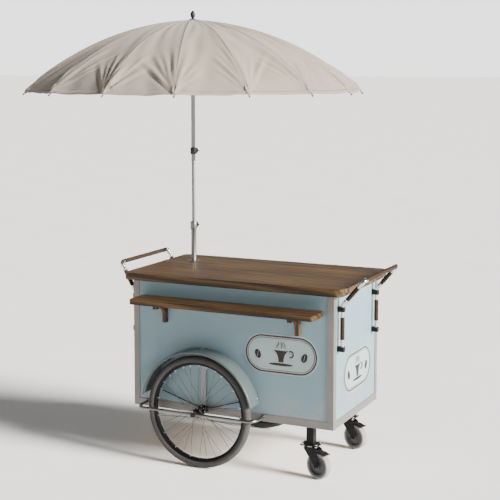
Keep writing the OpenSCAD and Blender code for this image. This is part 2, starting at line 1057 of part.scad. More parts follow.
// One rib: an arc from the top hub to a ball tip at the fabric's edge
module rib() {
    start = rib_angle(tip_at);
    hub_end = rib_angle(top_hub_r + gap);
    translate([arc_cx, 0, canopy_z - arc_cz])
        rotate([90, 0, 0])
            rotate([0, 0, start])
                rotate_extrude(angle = hub_end - start)
                    translate([rib_arc, 0])
                        circle(r = rib_r);
    translate([tip_at, 0, canopy_z - arc_cz + rib_arc * sin(start)])
        sphere(r = rib_tip_r);
}

module ribs() {
    color("DimGray")
        at_mast()
            for (i = [0 : rib_n - 1])
                rotate([0, 0, rib_phase + i * 360 / rib_n])
                    rib();
}

// Struts from the runner out to the ribs
module struts() {
    color("DimGray")
        at_mast()
            for (i = [0 : rib_n - 1])
                rotate([0, 0, rib_phase + i * 360 / rib_n])
                    rod([27, 0, runner_z - 6], [strut_at, 0, profile_z(strut_at) - 13], 2.5);
}

module finial() {
    color("DimGray")
        at_mast() {
            translate([0, 0, canopy_z - 6])
                cylinder(h = 24, r = 7);
            translate([0, 0, canopy_z + 1])
                cylinder(h = 5, r = 20);
            translate([0, 0, canopy_z + 22])
                sphere(r = 14);
            translate([0, 0, canopy_z + 22])
                cylinder(h = 24, r1 = 13.6, r2 = 9);
            translate([0, 0, canopy_z + 43])
                sphere(r = 9);
        }
}

base_frame();
corner_posts();
front_panel();
back_panel();
left_panel();
right_panel();
floor_panel();
inner_shelf();
countertop();
front_shelf();
shelf_brackets();
front_emblem();
end_emblem();
front_fender();
back_fender();
fender_stays();
support_bars();
front_guard();
back_guard();
axle();
axle_nuts();
left_handle();
left_grips();
right_handle();
right_grips();
handle_clamps();
caster_leg_front();
caster_leg_back();
caster_plate_front();
caster_plate_back();
door();
door_pull();
door_leaves();
door_hinges();
tyre_front();
rim_front();
spokes_front();
hub_front();
tyre_back();
rim_back();
spokes_back();
hub_back();
fork_front();
caster_core_front();
caster_tread_front();
pedal_front();
fork_back();
caster_core_back();
caster_tread_back();
pedal_back();
mast_holder();
mast_knob();
mast();
upper_tube();
height_collar();
height_knob();
canopy();
ribs();
struts();
finial();
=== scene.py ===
import math
import random

import bmesh
import bpy
from mathutils import Matrix, Vector
from mathutils.geometry import tessellate_polygon


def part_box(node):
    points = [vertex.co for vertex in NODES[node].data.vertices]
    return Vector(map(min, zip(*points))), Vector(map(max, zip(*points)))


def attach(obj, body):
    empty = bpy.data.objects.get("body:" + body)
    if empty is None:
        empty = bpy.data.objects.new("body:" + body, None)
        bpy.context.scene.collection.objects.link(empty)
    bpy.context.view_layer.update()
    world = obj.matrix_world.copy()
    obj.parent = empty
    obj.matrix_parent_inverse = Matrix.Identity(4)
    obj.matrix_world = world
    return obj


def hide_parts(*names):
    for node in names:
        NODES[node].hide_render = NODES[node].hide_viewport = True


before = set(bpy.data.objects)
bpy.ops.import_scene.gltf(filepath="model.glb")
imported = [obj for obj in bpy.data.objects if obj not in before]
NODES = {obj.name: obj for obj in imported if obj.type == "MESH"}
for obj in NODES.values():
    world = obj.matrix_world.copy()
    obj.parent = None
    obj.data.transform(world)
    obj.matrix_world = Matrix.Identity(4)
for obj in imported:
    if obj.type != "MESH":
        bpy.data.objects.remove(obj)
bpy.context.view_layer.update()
MM = 0.001
UP, ACROSS = Vector((0, 0, 1)), Vector((0, 1, 0))


def add_object(name, data):
    """A new object in the scene."""
    made = bpy.data.objects.new(name, data)
    bpy.context.scene.collection.objects.link(made)
    return made


def centre_of(node):
    """The middle of a CAD node's box."""
    low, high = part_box(node)
    return (low + high) / 2


def mm(*places):
    """Pairs of numbers in millimetres, such as (radius, distance along an axis), in metres."""
    return [(first * MM, second * MM) for first, second in places]


# ---- Materials ---------------------------------------------------------------------------

class Finish:
    """A node material: constants sit on the shader's own sockets, and the rest is wired by the methods."""

    def __init__(self, name, **constants):
        self.material = bpy.data.materials.new(name)
        self.material.use_nodes = True
        self.tree = self.material.node_tree
        self.shader = self.tree.nodes["Principled BSDF"]
        for socket, value in constants.items():
            self.shader.inputs[socket.replace("_", " ")].default_value = value
        self.place = self.add("ShaderNodeTexCoord").outputs["Object"]

    def add(self, kind, settings=None, **inputs):
        """A node with its settings made and its inputs either wired or set."""
        made = self.tree.nodes.new(kind)
        for key, value in (settings or {}).items():
            setattr(made, key, value)
        for key, value in inputs.items():
            self.feed(made.inputs[key.replace("_", " ")], value)
        return made

    def feed(self, socket, value):
        if isinstance(value, bpy.types.NodeSocket):
            self.tree.links.new(value, socket)
        else:
            socket.default_value = value

    def stretch(self, scale, turn=(0, 0, 0), source=None):
        """The object's own coordinates, scaled and turned."""
        made = self.add("ShaderNodeMapping", Vector=source or self.place, Scale=scale, Rotation=turn)
        return made.outputs["Vector"]

    def noise(self, scale, detail, roughness=0.55, warp=0.0, at=None):
        made = self.add("ShaderNodeTexNoise", Vector=at or self.place, Scale=scale, Detail=detail,
                        Roughness=roughness, Distortion=warp)
        return made.outputs["Fac"]

    def cells(self, scale):
        """Distance from the middle of the nearest cell."""
        made = self.add("ShaderNodeTexVoronoi", {"feature": "F1"}, Vector=self.place, Scale=scale)
        return made.outputs["Distance"]

    def waves(self, scale, direction, detail, warp=0.0, at=None):
        """Bands that run across one direction."""
        settings = {"wave_type": "BANDS", "bands_direction": direction}
        made = self.add("ShaderNodeTexWave", settings, Vector=at or self.place, Scale=scale,
                        Distortion=warp, Detail=detail)
        return made.outputs["Fac"]

    def maths(self, operation, a, b=0.0, clamp=False):
        made = self.tree.nodes.new("ShaderNodeMath")
        made.operation = operation
        made.use_clamp = clamp
        self.feed(made.inputs[0], a)
        self.feed(made.inputs[1], b)
        return made.outputs[0]

    def plus(self, a, b, clamp=False):
        return self.maths("ADD", a, b, clamp)

    def minus(self, a, b):
        return self.maths("SUBTRACT", a, b)

    def times(self, a, b):
        return self.maths("MULTIPLY", a, b)

    def spread(self, value, low, high, to_low=0.0, to_high=1.0):
        """Maps low..high to to_low..to_high, held at the ends."""
        made = self.add("ShaderNodeMapRange", Value=value)
        for key, number in (("From Min", low), ("From Max", high), ("To Min", to_low), ("To Max", to_high)):
            made.inputs[key].default_value = number
        return made.outputs["Result"]

    def axis(self, name, source=None):
        made = self.add("ShaderNodeSeparateXYZ", Vector=source or self.place)
        return made.outputs[name]

    def blend(self, share, a, b, mode="MIX"):
        made = self.tree.nodes.new("ShaderNodeMix")
        made.data_type = "RGBA"
        made.blend_type = mode
        self.feed(made.inputs[0], share)
        self.feed(made.inputs[6], a)
        self.feed(made.inputs[7], b)
        return made.outputs[2]

    def ramp(self, value, *stops):
        """Colours along a value: each stop is (position, colour)."""
        made = self.add("ShaderNodeValToRGB", Fac=value)
        band = made.color_ramp
        while len(band.elements) < len(stops):
            band.elements.new(0.5)
        for element, (position, colour) in zip(band.elements, stops):
            element.position = position
            element.color = colour
        return made.outputs["Color"]

    def vary(self, value, colour, low, high, stops=(0.3, 0.7)):
        """A colour that runs from low to high times its brightness as a pattern's value rises."""
        return self.ramp(value, (stops[0], shade(colour, low)), (stops[1], shade(colour, high)))

    def bump(self, height, distance, strength=1.0):
        made = self.add("ShaderNodeBump", Height=height, Distance=distance, Strength=strength)
        return made.outputs["Normal"]

    def finish(self, colour, roughness, normal=None):
        """Wires the shader and gives the material."""
        for socket, value in (("Base Color", colour), ("Roughness", roughness), ("Normal", normal)):
            if value is not None:
                self.feed(self.shader.inputs[socket], value)
        return self.material


def rgb(red, green, blue):
    """A colour given as sRGB from 0 to 255, in the shader's linear numbers."""
    def linear(level):
        share = level / 255
        return share / 12.92 if share <= 0.04045 else ((share + 0.055) / 1.055) ** 2.4
    return (linear(red), linear(green), linear(blue), 1.0)


def shade(colour, factor):
    return tuple(min(1.0, part * factor) for part in colour[:3]) + (1.0,)


def paint(name, colour, roughness, coat=0.0, grime_height=0.0, shine=0.3):
    """Sprayed enamel: orange peel, faint cloudiness, dust that gathers low down and fine rubs."""
    f = Finish(name, Coat_Weight=coat, Coat_Roughness=0.12, Specular_IOR_Level=shine)
    cloud = f.noise(3.0, detail=5.0)
    base = f.vary(cloud, colour, 0.93, 1.05)
    speck = f.spread(f.noise(160.0, detail=3.0), 0.66, 0.76)
    base = f.blend(f.times(speck, 0.18), base, shade(colour, 0.55))
    if grime_height:
        low = f.spread(f.axis("Z"), grime_height, grime_height + 0.16, 1.0, 0.0)
        patchy = f.spread(f.noise(11.0, detail=6.0, roughness=0.7), 0.42, 0.72)
        dust = f.times(f.times(low, patchy), 0.45)
        base = f.blend(dust, base, rgb(150, 138, 118))
    rub = f.spread(f.noise(1.0, detail=4.0, at=f.stretch((30, 30, 4))), 0.35, 0.75, -0.05, 0.09)
    peel = f.bump(f.noise(420.0, detail=1.0), 0.00012)
    return f.finish(base, f.plus(rub, roughness, clamp=True), peel)


def brushed(name, colour, roughness, direction, tone, metallic=1.0):
    """Metal with fine lines along one axis, a soft tarnish and a few handling marks."""
    f = Finish(name, Metallic=metallic)
    stretch = {"X": (6, 600, 600), "Y": (600, 6, 600), "Z": (600, 600, 6)}[direction]
    lines = f.noise(1.0, detail=3.0, at=f.stretch(stretch))
    cloud = f.noise(9.0, detail=5.0)
    base = f.vary(cloud, colour, 1 - tone, 1 + tone / 2)
    base = f.blend(f.spread(lines, 0.3, 0.75, 0.0, 0.22), base, shade(colour, 0.7))
    marks = f.spread(f.noise(38.0, detail=7.0, roughness=0.75), 0.58, 0.74)
    worn = f.times(marks, 0.16)
    rough = f.plus(worn, f.spread(lines, 0.2, 0.8, roughness - 0.05, roughness + 0.08))
    return f.finish(base, rough, f.bump(lines, 0.00006))


def polished(name, colour, roughness=0.16):
    """Chromed or polished tube: cloudy smears and hairline scratches."""
    f = Finish(name, Metallic=1.0)
    smear = f.noise(24.0, detail=6.0, roughness=0.65)
    hair = f.noise(1.0, detail=2.0, at=f.stretch((900, 60, 60), turn=(0.3, 0.5, 0.2)))
    base = f.ramp(smear, (0.35, shade(colour, 0.86)), (0.65, colour))
    rough = f.plus(f.spread(smear, 0.35, 0.75, roughness - 0.05, roughness + 0.14),
                    f.spread(hair, 0.62, 0.72, 0.0, 0.08))
    return f.finish(base, rough, f.bump(hair, 0.00003, 0.5))


def powder_coat(name, colour):
    """Fine-textured black coating, rubbed lighter in places."""
    f = Finish(name, Specular_IOR_Level=0.14)
    grit = f.noise(900.0, detail=2.0)
    wear = f.spread(f.noise(46.0, detail=8.0, roughness=0.78), 0.60, 0.74)
    base = f.vary(f.noise(18.0, detail=4.0), colour, 0.75, 1.3)
    base = f.blend(f.times(wear, 0.25), base, rgb(84, 81, 78))
    return f.finish(base, f.spread(grit, 0.2, 0.8, 0.4, 0.62), f.bump(grit, 0.0001))


def moulded(name, colour):
    """Injection-moulded plastic: spark-eroded grain and slight flow marks."""
    f = Finish(name, Specular_IOR_Level=0.22)
    grain_height = f.cells(1500.0)
    flow = f.noise(14.0, detail=4.0, warp=0.6)
    base = f.vary(flow, colour, 0.88, 1.1, (0.3, 0.72))
    rough = f.spread(f.noise(60.0, detail=5.0), 0.3, 0.7, 0.36, 0.52)
    return f.finish(base, rough, f.bump(grain_height, 0.00008, 0.6))


def rubber(name, colour, dust_colour, roughness=0.72, dust=0.35):
    """Rubber with a dry bloom, road dust in its pores and fine pits."""
    f = Finish(name, Specular_IOR_Level=0.12)
    bloom = f.noise(26.0, detail=6.0, roughness=0.7)
    base = f.vary(bloom, colour, 0.82, 1.12)
    dusty = f.spread(f.noise(70.0, detail=8.0, roughness=0.8), 0.45, 0.75, 0.0, dust)
    base = f.blend(dusty, base, dust_colour)
    pits = f.cells(520.0)
    rough = f.spread(bloom, 0.3, 0.7, roughness - 0.08, roughness + 0.12)
    return f.finish(base, rough, f.bump(pits, 0.00018, 0.7))


def timber(name, grain_axis, board, pale, middle, dark, seed=0.0):
    """Edge-glued hardwood boards: per-board tone, growth rings, fibres, pores, and oil sheen."""
    f = Finish(name, Specular_IOR_Level=0.2, Coat_Weight=0.05, Coat_Roughness=0.3)
    position = f.plus(f.axis("Y"), seed + 5.0)
    lane = f.maths("DIVIDE", position, board)
    number = f.maths("FLOOR", lane)
    inside = f.maths("FRACT", lane)
    tone = f.add("ShaderNodeTexWhiteNoise", {"noise_dimensions": "1D"}, W=number).outputs["Value"]
    shift = f.add("ShaderNodeCombineXYZ", X=f.times(tone, 3.7), Y=f.times(tone, 5.1),
                  Z=f.times(tone, 2.3))
    moved = f.add("ShaderNodeVectorMath", {"operation": "ADD"})
    f.feed(moved.inputs[0], f.place)
    f.feed(moved.inputs[1], shift.outputs["Vector"])
    along = {"X": (0.55, 9, 9), "Y": (9, 0.55, 9), "Z": (9, 9, 0.55)}[grain_axis]
    fine = {"X": (14, 420, 420), "Y": (420, 14, 420), "Z": (420, 420, 14)}[grain_axis]
    grain_at = f.stretch(along, source=moved.outputs["Vector"])
    fibre_at = f.stretch(fine, source=moved.outputs["Vector"])
    ring = f.waves(1.5, "DIAGONAL", 3.0, warp=7.0, at=grain_at)
    streak = f.noise(1.6, detail=6.0, roughness=0.6, warp=0.8, at=grain_at)
    fibre = f.noise(1.0, detail=3.0, at=fibre_at)
    base = f.ramp(f.plus(f.times(ring, 0.45), f.times(streak, 0.62)),
                  (0.22, dark), (0.52, middle), (0.86, pale))
    base = f.blend(f.spread(tone, 0.0, 1.0, 0.0, 0.42), base, dark, "MULTIPLY")
    base = f.blend(f.spread(fibre, 0.58, 0.78, 0.0, 0.5), base, shade(dark, 0.45))
    edge = f.maths("MINIMUM", inside, f.minus(1.0, inside))
    joint = f.spread(edge, 0.0, 0.0012 / board, 1.0, 0.0)
    base = f.blend(f.times(joint, 0.7), base, shade(dark, 0.3))
    rough = f.plus(f.spread(fibre, 0.3, 0.7, -0.05, 0.1),
                    f.spread(streak, 0.3, 0.7, 0.37, 0.5))
    height = f.minus(f.times(fibre, -0.35), f.times(joint, 1.2))
    return f.finish(base, rough, f.bump(height, 0.0003, 0.7))


def plywood(name):
    f = Finish(name)
    fibre = f.noise(1.0, detail=4.0, at=f.stretch((5, 160, 160)))
    layer = f.spread(f.waves(70.0, "Z", 0.0), 0.3, 0.7)
    base = f.ramp(fibre, (0.3, rgb(176, 140, 96)), (0.7, rgb(206, 174, 128)))
    base = f.blend(f.times(layer, 0.25), base, rgb(140, 104, 66))
    return f.finish(base, f.spread(fibre, 0.3, 0.7, 0.5, 0.66), f.bump(fibre, 0.0002))


def canvas(name, colour):
    """Woven canopy cloth. The mesh carries a point attribute "cloth": metres across a panel, metres from the
    top, and the distance to the nearest seam. The weave follows the threads of each panel."""
    f = Finish(name, Sheen_Weight=0.1, Sheen_Roughness=0.5, Specular_IOR_Level=0.2)
    flat = f.add("ShaderNodeAttribute", {"attribute_name": "cloth"}).outputs["Vector"]
    across, down, from_seam = (f.axis(letter, flat) for letter in "XYZ")
    thread = 1.6 * MM
    turn = 2 * math.pi / thread
    warp = f.maths("SINE", f.times(across, turn))
    weft = f.maths("SINE", f.times(down, turn))
    weave = f.times(warp, weft)
    slub = f.noise(1.0, detail=3.0, at=f.stretch((900, 24, 1), source=flat))
    thick = f.noise(1.0, detail=3.0, at=f.stretch((24, 900, 1), source=flat))
    fade = f.noise(2.6, detail=6.0, roughness=0.6)
    stain = f.spread(f.noise(7.0, detail=8.0, roughness=0.7), 0.55, 0.8, 0.0, 0.22)
    base = f.vary(fade, colour, 0.9, 1.06)
    base = f.blend(f.spread(slub, 0.45, 0.75, 0.0, 0.3), base, shade(colour, 0.72))
    base = f.blend(f.spread(thick, 0.45, 0.75, 0.0, 0.24), base, shade(colour, 1.22))
    base = f.blend(stain, base, shade(colour, 0.78))
    off_row = f.maths("ABSOLUTE", f.minus(from_seam, 0.0045))
    stitch_row = f.spread(off_row, 0.0004, 0.0011, 1.0, 0.0)
    dash = f.spread(f.maths("SINE", f.times(down, 2 * math.pi / 0.004)), -0.5, -0.2)
    stitch = f.times(stitch_row, dash)
    base = f.blend(f.times(stitch, 0.6), base, shade(colour, 0.45))
    # Painted shadow: the cloth darkens toward each seam and toward the edges of the hem, the pockets and the
    # crown patch.
    shadow = f.spread(from_seam, 0.0, 0.012, 0.22, 0.0)
    base = f.blend(shadow, base, shade(colour, 0.55))
    height = f.plus(f.times(weave, 0.4), f.plus(slub, thick))
    height = f.minus(height, f.times(stitch, 1.2))
    return f.finish(base, f.spread(slub, 0.3, 0.7, 0.78, 0.93), f.bump(height, 0.0003, 0.8))


# ---- Mesh building -----------------------------------------------------------------------

def mirrored(profile):
    """A profile of (radius, distance) points run backward on the other side of its middle."""
    return [(r, -y) for r, y in reversed(profile)]


def arc(centre, radius, start, end, count):
    """Points on a circle in a plane, from one angle in degrees to another."""
    angles = [math.radians(start + (end - start) * i / count) for i in range(count + 1)]
    return [(centre[0] + radius * math.cos(a), centre[1] + radius * math.sin(a)) for a in angles]


def rounded_box_outline(low, high, radius, count):
    """A rectangle with round corners, anticlockwise."""
    (x0, y0), (x1, y1) = low, high
    return (arc((x1 - radius, y0 + radius), radius, -90, 0, count)
            + arc((x1 - radius, y1 - radius), radius, 0, 90, count)
            + arc((x0 + radius, y1 - radius), radius, 90, 180, count)
            + arc((x0 + radius, y0 + radius), radius, 180, 270, count))


def inset(outline, distance):
    """Moves an anticlockwise outline inward, or outward where distance is negative."""
    moved = []
    for before, here, after in zip(outline[-1:] + outline[:-1], outline, outline[1:] + outline[:1]):
        a = Vector((here[0] - before[0], here[1] - before[1])).normalized()
        b = Vector((after[0] - here[0], after[1] - here[1])).normalized()
        normal = Vector((-a.y, a.x)) + Vector((-b.y, b.x))
        normal *= distance / max(0.3, 1 + a.dot(b))
        moved.append((here[0] + normal.x, here[1] + normal.y))
    return moved


def filleted(points, radius, count):
    """A path through points with each inner corner rounded."""
    path = [points[0]]
    for before, here, after in zip(points, points[1:], points[2:]):
        a, b = (before - here).normalized(), (after - here).normalized()
        half = a.angle(b) / 2
        reach = radius / math.tan(half)
        centre = here + (a + b).normalized() * (radius / math.sin(half))
        first, last = here + a * reach - centre, here + b * reach - centre
        path += [centre + first.lerp(last, i / count).normalized() * radius for i in range(count + 1)]
    return path + [points[-1]]


class Shape:
    """Collects surfaces into one mesh."""

    def __init__(self):
        self.points, self.faces = [], []

    def loft(self, rings, closed=False, caps=True):
        """Skins rings of equal length. A closed loft joins its last ring to its first."""
        start, count, size = len(self.points), len(rings), len(rings[0])
        for ring in rings:
            self.points += [Vector(p) for p in ring]
        for i in range(count if closed else count - 1):
            a, b = start + i * size, start + (i + 1) % count * size
            for j in range(size):
                k = (j + 1) % size
                self.faces.append((a + j, a + k, b + k, b + j))
        if caps and not closed:
            self.faces.append(tuple(start + j for j in reversed(range(size))))
            self.faces.append(tuple(start + (count - 1) * size + j for j in range(size)))
        return self

    def lathe(self, profile, centre, axis, sides, closed=False):
        """Turns (radius, distance along the axis) points about an axis through centre."""
        axis = Vector(axis).normalized()
        u = axis.orthogonal().normalized()
        v = axis.cross(u)
        turns = [2 * math.pi * j / sides for j in range(sides)]
        spokes = [u * math.cos(t) + v * math.sin(t) for t in turns]
        rings = [[centre + axis * h + spoke * r for spoke in spokes] for r, h in profile]
        return self.loft(rings, closed=closed)

    def sweep(self, path, radius, sides):
        """A tube along a path. radius is a number or one for each point."""
        radii = radius if isinstance(radius, list) else [radius] * len(path)
        heading = (path[1] - path[0]).normalized()
        side = heading.orthogonal().normalized()
        rings = []
        for i, (point, r) in enumerate(zip(path, radii)):
            ahead = path[min(i + 1, len(path) - 1)] - path[max(i - 1, 0)]
            heading = ahead.normalized()
            side = (side - heading * side.dot(heading)).normalized()
            third = heading.cross(side)
            turns = [2 * math.pi * j / sides for j in range(sides)]
            rings.append([point + side * (r * math.cos(t)) + third * (r * math.sin(t)) for t in turns])
        return self.loft(rings)

    def plate(self, outline, low, high, place, edge, steps=3, hole=None, hole_edge=None):
        """An outline extruded from low to high with rounded edges, and with a hole if one is given, whose
        own edges widen by hole_edge. place(u, v, w) puts a point of the outline at height w in space."""
        widening = 1 if hole_edge is None else hole_edge / edge
        bends = [(edge * (1 - math.sin(a)), edge * (1 - math.cos(a)))
                 for a in (math.pi / 2 * i / steps for i in range(steps + 1))]
        levels = [(i, low + h) for i, h in bends] + [(i, high - h) for i, h in reversed(bends)]
        outer = [[place(u, v, w) for u, v in inset(outline, i)] for i, w in levels]
        if hole is None:
            return self.loft(outer)
        inner = [[place(u, v, w) for u, v in inset(hole, -i * widening)] for i, w in levels]
        start = len(self.points)
        self.loft(outer, caps=False)
        middle = len(self.points)
        self.loft([list(reversed(ring)) for ring in inner], caps=False)
        size, inner_size = len(outline), len(hole)
        for level, flip in ((0, True), (len(levels) - 1, False)):
            first = start + level * size
            second = middle + level * inner_size
            numbers = list(range(first, first + size)) + list(range(second, second + inner_size))
            loops = [[self.points[n] for n in numbers[:size]], [self.points[n] for n in numbers[size:]]]
            for triangle in tessellate_polygon(loops):
                corners = tuple(numbers[n] for n in triangle)
                normal = (self.points[corners[1]] - self.points[corners[0]]).cross(
                    self.points[corners[2]] - self.points[corners[0]])
                top = place(0, 0, 1) - place(0, 0, 0)
                wrong = (normal.dot(top) < 0) != flip
                self.faces.append(tuple(reversed(corners)) if wrong else corners)
        return self

    def build(self, name, body, material, slot, replaces=(), sharp=38):
        """Makes the object, shades it, and rides it on its body."""
        mesh = bpy.data.meshes.new(name)
        mesh.from_pydata(self.points, [], self.faces)
        mesh.materials.append(material)
        work = bmesh.new()
        work.from_mesh(mesh)
        bmesh.ops.remove_doubles(work, verts=work.verts, dist=1e-6)
        bmesh.ops.dissolve_degenerate(work, edges=work.edges, dist=1e-7)
        bmesh.ops.recalc_face_normals(work, faces=work.faces)
        work.to_mesh(mesh)
        work.free()
        mesh.shade_smooth()
        mesh.set_sharp_from_angle(angle=math.radians(sharp))
        made = add_object(name, mesh)
        made.modifiers.new("even_shading", "WEIGHTED_NORMAL").keep_sharp = True
        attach(made, body)
        if replaces:
            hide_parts(*replaces)
        return made


def flat_xy(u, v, w):
    return Vector((u, v, w))


def facing_front(u, v, w):
    """Outline in X and Z. Thickness runs toward -Y."""
    return Vector((u, -w, v))


def facing_back(u, v, w):
    """Outline in X, reversed, and Z. Thickness runs toward +Y."""
    return Vector((-u, w, v))


def facing_right(u, v, w):
    """Outline in Y and Z. Thickness runs toward +X."""
    return Vector((w, u, v))


def mirrored_across(y):
    """The matrix that mirrors a customer-side shape to the operator side."""
    return Matrix.Translation((0, 2 * y, 0)) @ Matrix.Diagonal((1, -1, 1, 1))


def dress(node, material):
    """Gives a CAD node a material, and rounds its sharp edges a little unless it is too fine for that."""
    shown = NODES[node]
    if node not in TOO_FINE:
        shown.modifiers.new("Weld", "WELD").merge_threshold = 0.01 * MM
        rounding = shown.modifiers.new("Bevel", "BEVEL")
        rounding.width = 0.7 * MM
        rounding.segments = 2
        rounding.limit_method = "ANGLE"
        rounding.angle_limit = math.radians(50)
        rounding.harden_normals = True
    if not shown.material_slots:
        shown.data.materials.append(material)
    for slot in shown.material_slots:
        slot.material = material


# ---- Colours and finishes -----------------------------------------------------------------

PANEL_BLUE = rgb(106, 129, 138)
FENDER_GREY = rgb(62, 71, 72)
WALNUT = (rgb(100, 74, 38), rgb(64, 44, 20), rgb(32, 21, 9))

panel_paint = paint("panel_paint", PANEL_BLUE, 0.42, grime_height=0.33)
fender_paint = paint("fender_paint", FENDER_GREY, 0.36, coat=0.1)
bar_paint = paint("bar_paint", rgb(132, 134, 134), 0.45)
trim_metal = brushed("trim_metal", rgb(110, 107, 104), 0.5, "Z", 0.08, metallic=0.35)
rail_metal = brushed("rail_metal", rgb(110, 107, 104), 0.5, "X", 0.08, metallic=0.35)
mast_metal = brushed("mast_metal", rgb(114, 113, 113), 0.36, "Z", 0.1)
rib_metal = brushed("rib_metal", rgb(96, 94, 92), 0.42, "X", 0.16)
zinc = brushed("zinc", rgb(190, 190, 186), 0.36, "Y", 0.14)
bright_steel = brushed("bright_steel", rgb(214, 214, 212), 0.26, "X", 0.08)
polished_tube = polished("polished_tube", rgb(200, 198, 194))
guard_steel = polished("guard_steel", rgb(112, 112, 111), 0.3)
spoke_wire = polished("spoke_wire", rgb(92, 92, 92), 0.26)
counter_wood = timber("counter_wood", "X", 0.088, *WALNUT)
# The shelf's walnut is the counter's darkened to three quarters: painted shade, standing in for the shade
# that falls on the shelf's front face.
shelf_wood_painted_shade = timber("shelf_wood_painted_shade", "X", 0.0765, *(shade(tone, 0.75) for tone in WALNUT), seed=3.1)
bracket_wood = timber("bracket_wood", "Z", 0.06, *WALNUT, seed=1.7)
ply_wood = plywood("ply_wood")
black_coat = powder_coat("black_coat", rgb(19, 19, 20))
rim_gloss = paint("rim_gloss", rgb(9, 9, 10), 0.45, shine=0.12)
tyre_rubber = rubber("tyre_rubber", rgb(60, 59, 59), rgb(86, 82, 77))
tread_rubber = rubber("tread_rubber", rgb(132, 131, 129), rgb(116, 111, 104), 0.6, dust=0.25)
core_nylon = moulded("core_nylon", rgb(74, 75, 77))
knob_plastic = moulded("knob_plastic", rgb(28, 28, 30))
grip_wrap = rubber("grip_wrap", rgb(40, 29, 22), rgb(80, 64, 50), 0.62, dust=0.18)
badge_ground = paint("badge_ground", rgb(134, 150, 151), 0.5)
badge_brown = paint("badge_brown", rgb(30, 20, 18), 0.5)
badge_red = paint("badge_red", rgb(56, 24, 27), 0.48)
cloth = canvas("cloth", rgb(128, 119, 109))

TOO_FINE = ("spokes_front", "spokes_back", "ribs", "struts", "fender_stays", "front_emblem", "end_emblem")
for finish, names in {
    rail_metal: ["base_frame"],
    ply_wood: ["floor_panel", "inner_shelf"],
    badge_ground: ["front_emblem", "end_emblem"],
    black_coat: ["axle_nuts", "fender_stays", "handle_clamps", "caster_leg_front", "caster_leg_back",
                 "caster_plate_front", "caster_plate_back", "fork_front", "fork_back", "pedal_front",
                 "pedal_back"],
    bar_paint: ["support_bars"],
    bright_steel: ["axle", "door_pull"],
    spoke_wire: ["spokes_front", "spokes_back"],
    zinc: ["door_leaves", "door_hinges"],
    knob_plastic: ["mast_knob", "height_knob", "height_collar"],
    mast_metal: ["mast_holder", "mast", "upper_tube"],
    rib_metal: ["ribs", "struts"],
}.items():
    for name in names:
        dress(name, finish)


# ---- Cabinet -----------------------------------------------------------------------------

def slab_in(node, name, material, slot, place, axes, hole=None, body="cart", radius=0.0015):
    """A panel with softened edges that fills a CAD panel's box. axes are the outline's two axes and the
    thickness axis."""
    low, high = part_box(node)
    u, v, w = axes
    sign = place(1, 0, 0)[u]
    depth = place(0, 0, 1)[w]
    first, last = sorted((low[u] * sign, high[u] * sign))
    outline = rounded_box_outline((first, low[v]), (last, high[v]), radius, 4)
    inner, outer = sorted((low[w] * depth, high[w] * depth))
    shape = Shape().plate(outline, inner, outer, place, 1.2 * MM, hole=hole)
    shape.build(name, body, material, slot, [node])


slab_in("front_panel", "front_skin", panel_paint, "panel_paint", facing_front, (0, 2, 1))
slab_in("left_panel", "left_skin", panel_paint, "panel_paint", facing_right, (1, 2, 0))
slab_in("right_panel", "right_skin", panel_paint, "panel_paint", facing_right, (1, 2, 0))

door_low, door_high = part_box("door")
DOOR_GAP = 2.5 * MM
door_hole = rounded_box_outline((-door_high.x - DOOR_GAP, door_low.z - DOOR_GAP),
                                (-door_low.x + DOOR_GAP, door_high.z + DOOR_GAP), 0.003, 4)
slab_in("back_panel", "back_skin", panel_paint, "panel_paint", facing_back, (0, 2, 1), hole=door_hole)
slab_in("door", "door_skin", panel_paint, "panel_paint", facing_back, (0, 2, 1), body="service_door",
        radius=0.003)


def corner_angles():
    """Four L-shaped corner angles with rounded outer corners."""
    low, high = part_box("corner_posts")
    width, thick, nose = 36 * MM, 3 * MM, 2 * MM
    outline = (arc((nose, nose), nose, 180, 270, 4) + [(width, 0), (width, thick), (thick, thick),
               (thick, width), (0, width)])
    shape = Shape()
    for mx in (False, True):
        for my in (False, True):
            def place(u, v, w):
                return Vector((high.x - u if mx else low.x + u, high.y - v if my else low.y + v, w))
            shape.plate(outline, low.z, high.z, place, 0.0006, 2)
    shape.build("corner_angles", "cart", trim_metal, "trim_aluminium", ["corner_posts"])


corner_angles()


def oiled_slab(node, name, material, corner, seat=None, bore=None):
    """A wooden slab with round corners and rolled edges. seat and bore are the outlines of the recess for
    the mast's flange and of the hole below it."""
    low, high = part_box(node)
    outline = rounded_box_outline(low[:2], high[:2], corner, 14)
    shape = Shape().plate(outline, low.z, high.z, flat_xy, 0.005, 5, seat, 0.6 * MM)
    if seat:
        shape.plate(seat, low.z, high.z - FLANGE_SEAT_DEPTH, flat_xy, 0.1 * MM, 1, bore)
    shape.build(name, "cart", material, "counter_wood", [node])


mast_at = centre_of("mast")
HOLDER_R, FLANGE_SEAT_DEPTH, SEAT_GAP = 15 * MM, 5.1 * MM, 0.4 * MM
FLANGE_R = (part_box("mast_holder")[1].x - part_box("mast_holder")[0].x) / 2
flange_seat, holder_bore = (arc((mast_at.x, mast_at.y), radius + SEAT_GAP, 0, 360, 64)[:-1]
                            for radius in (FLANGE_R, HOLDER_R))
oiled_slab("countertop", "counter_slab", counter_wood, 0.042, flange_seat, holder_bore)
oiled_slab("front_shelf", "shelf_slab", shelf_wood_painted_shade, 0.020)


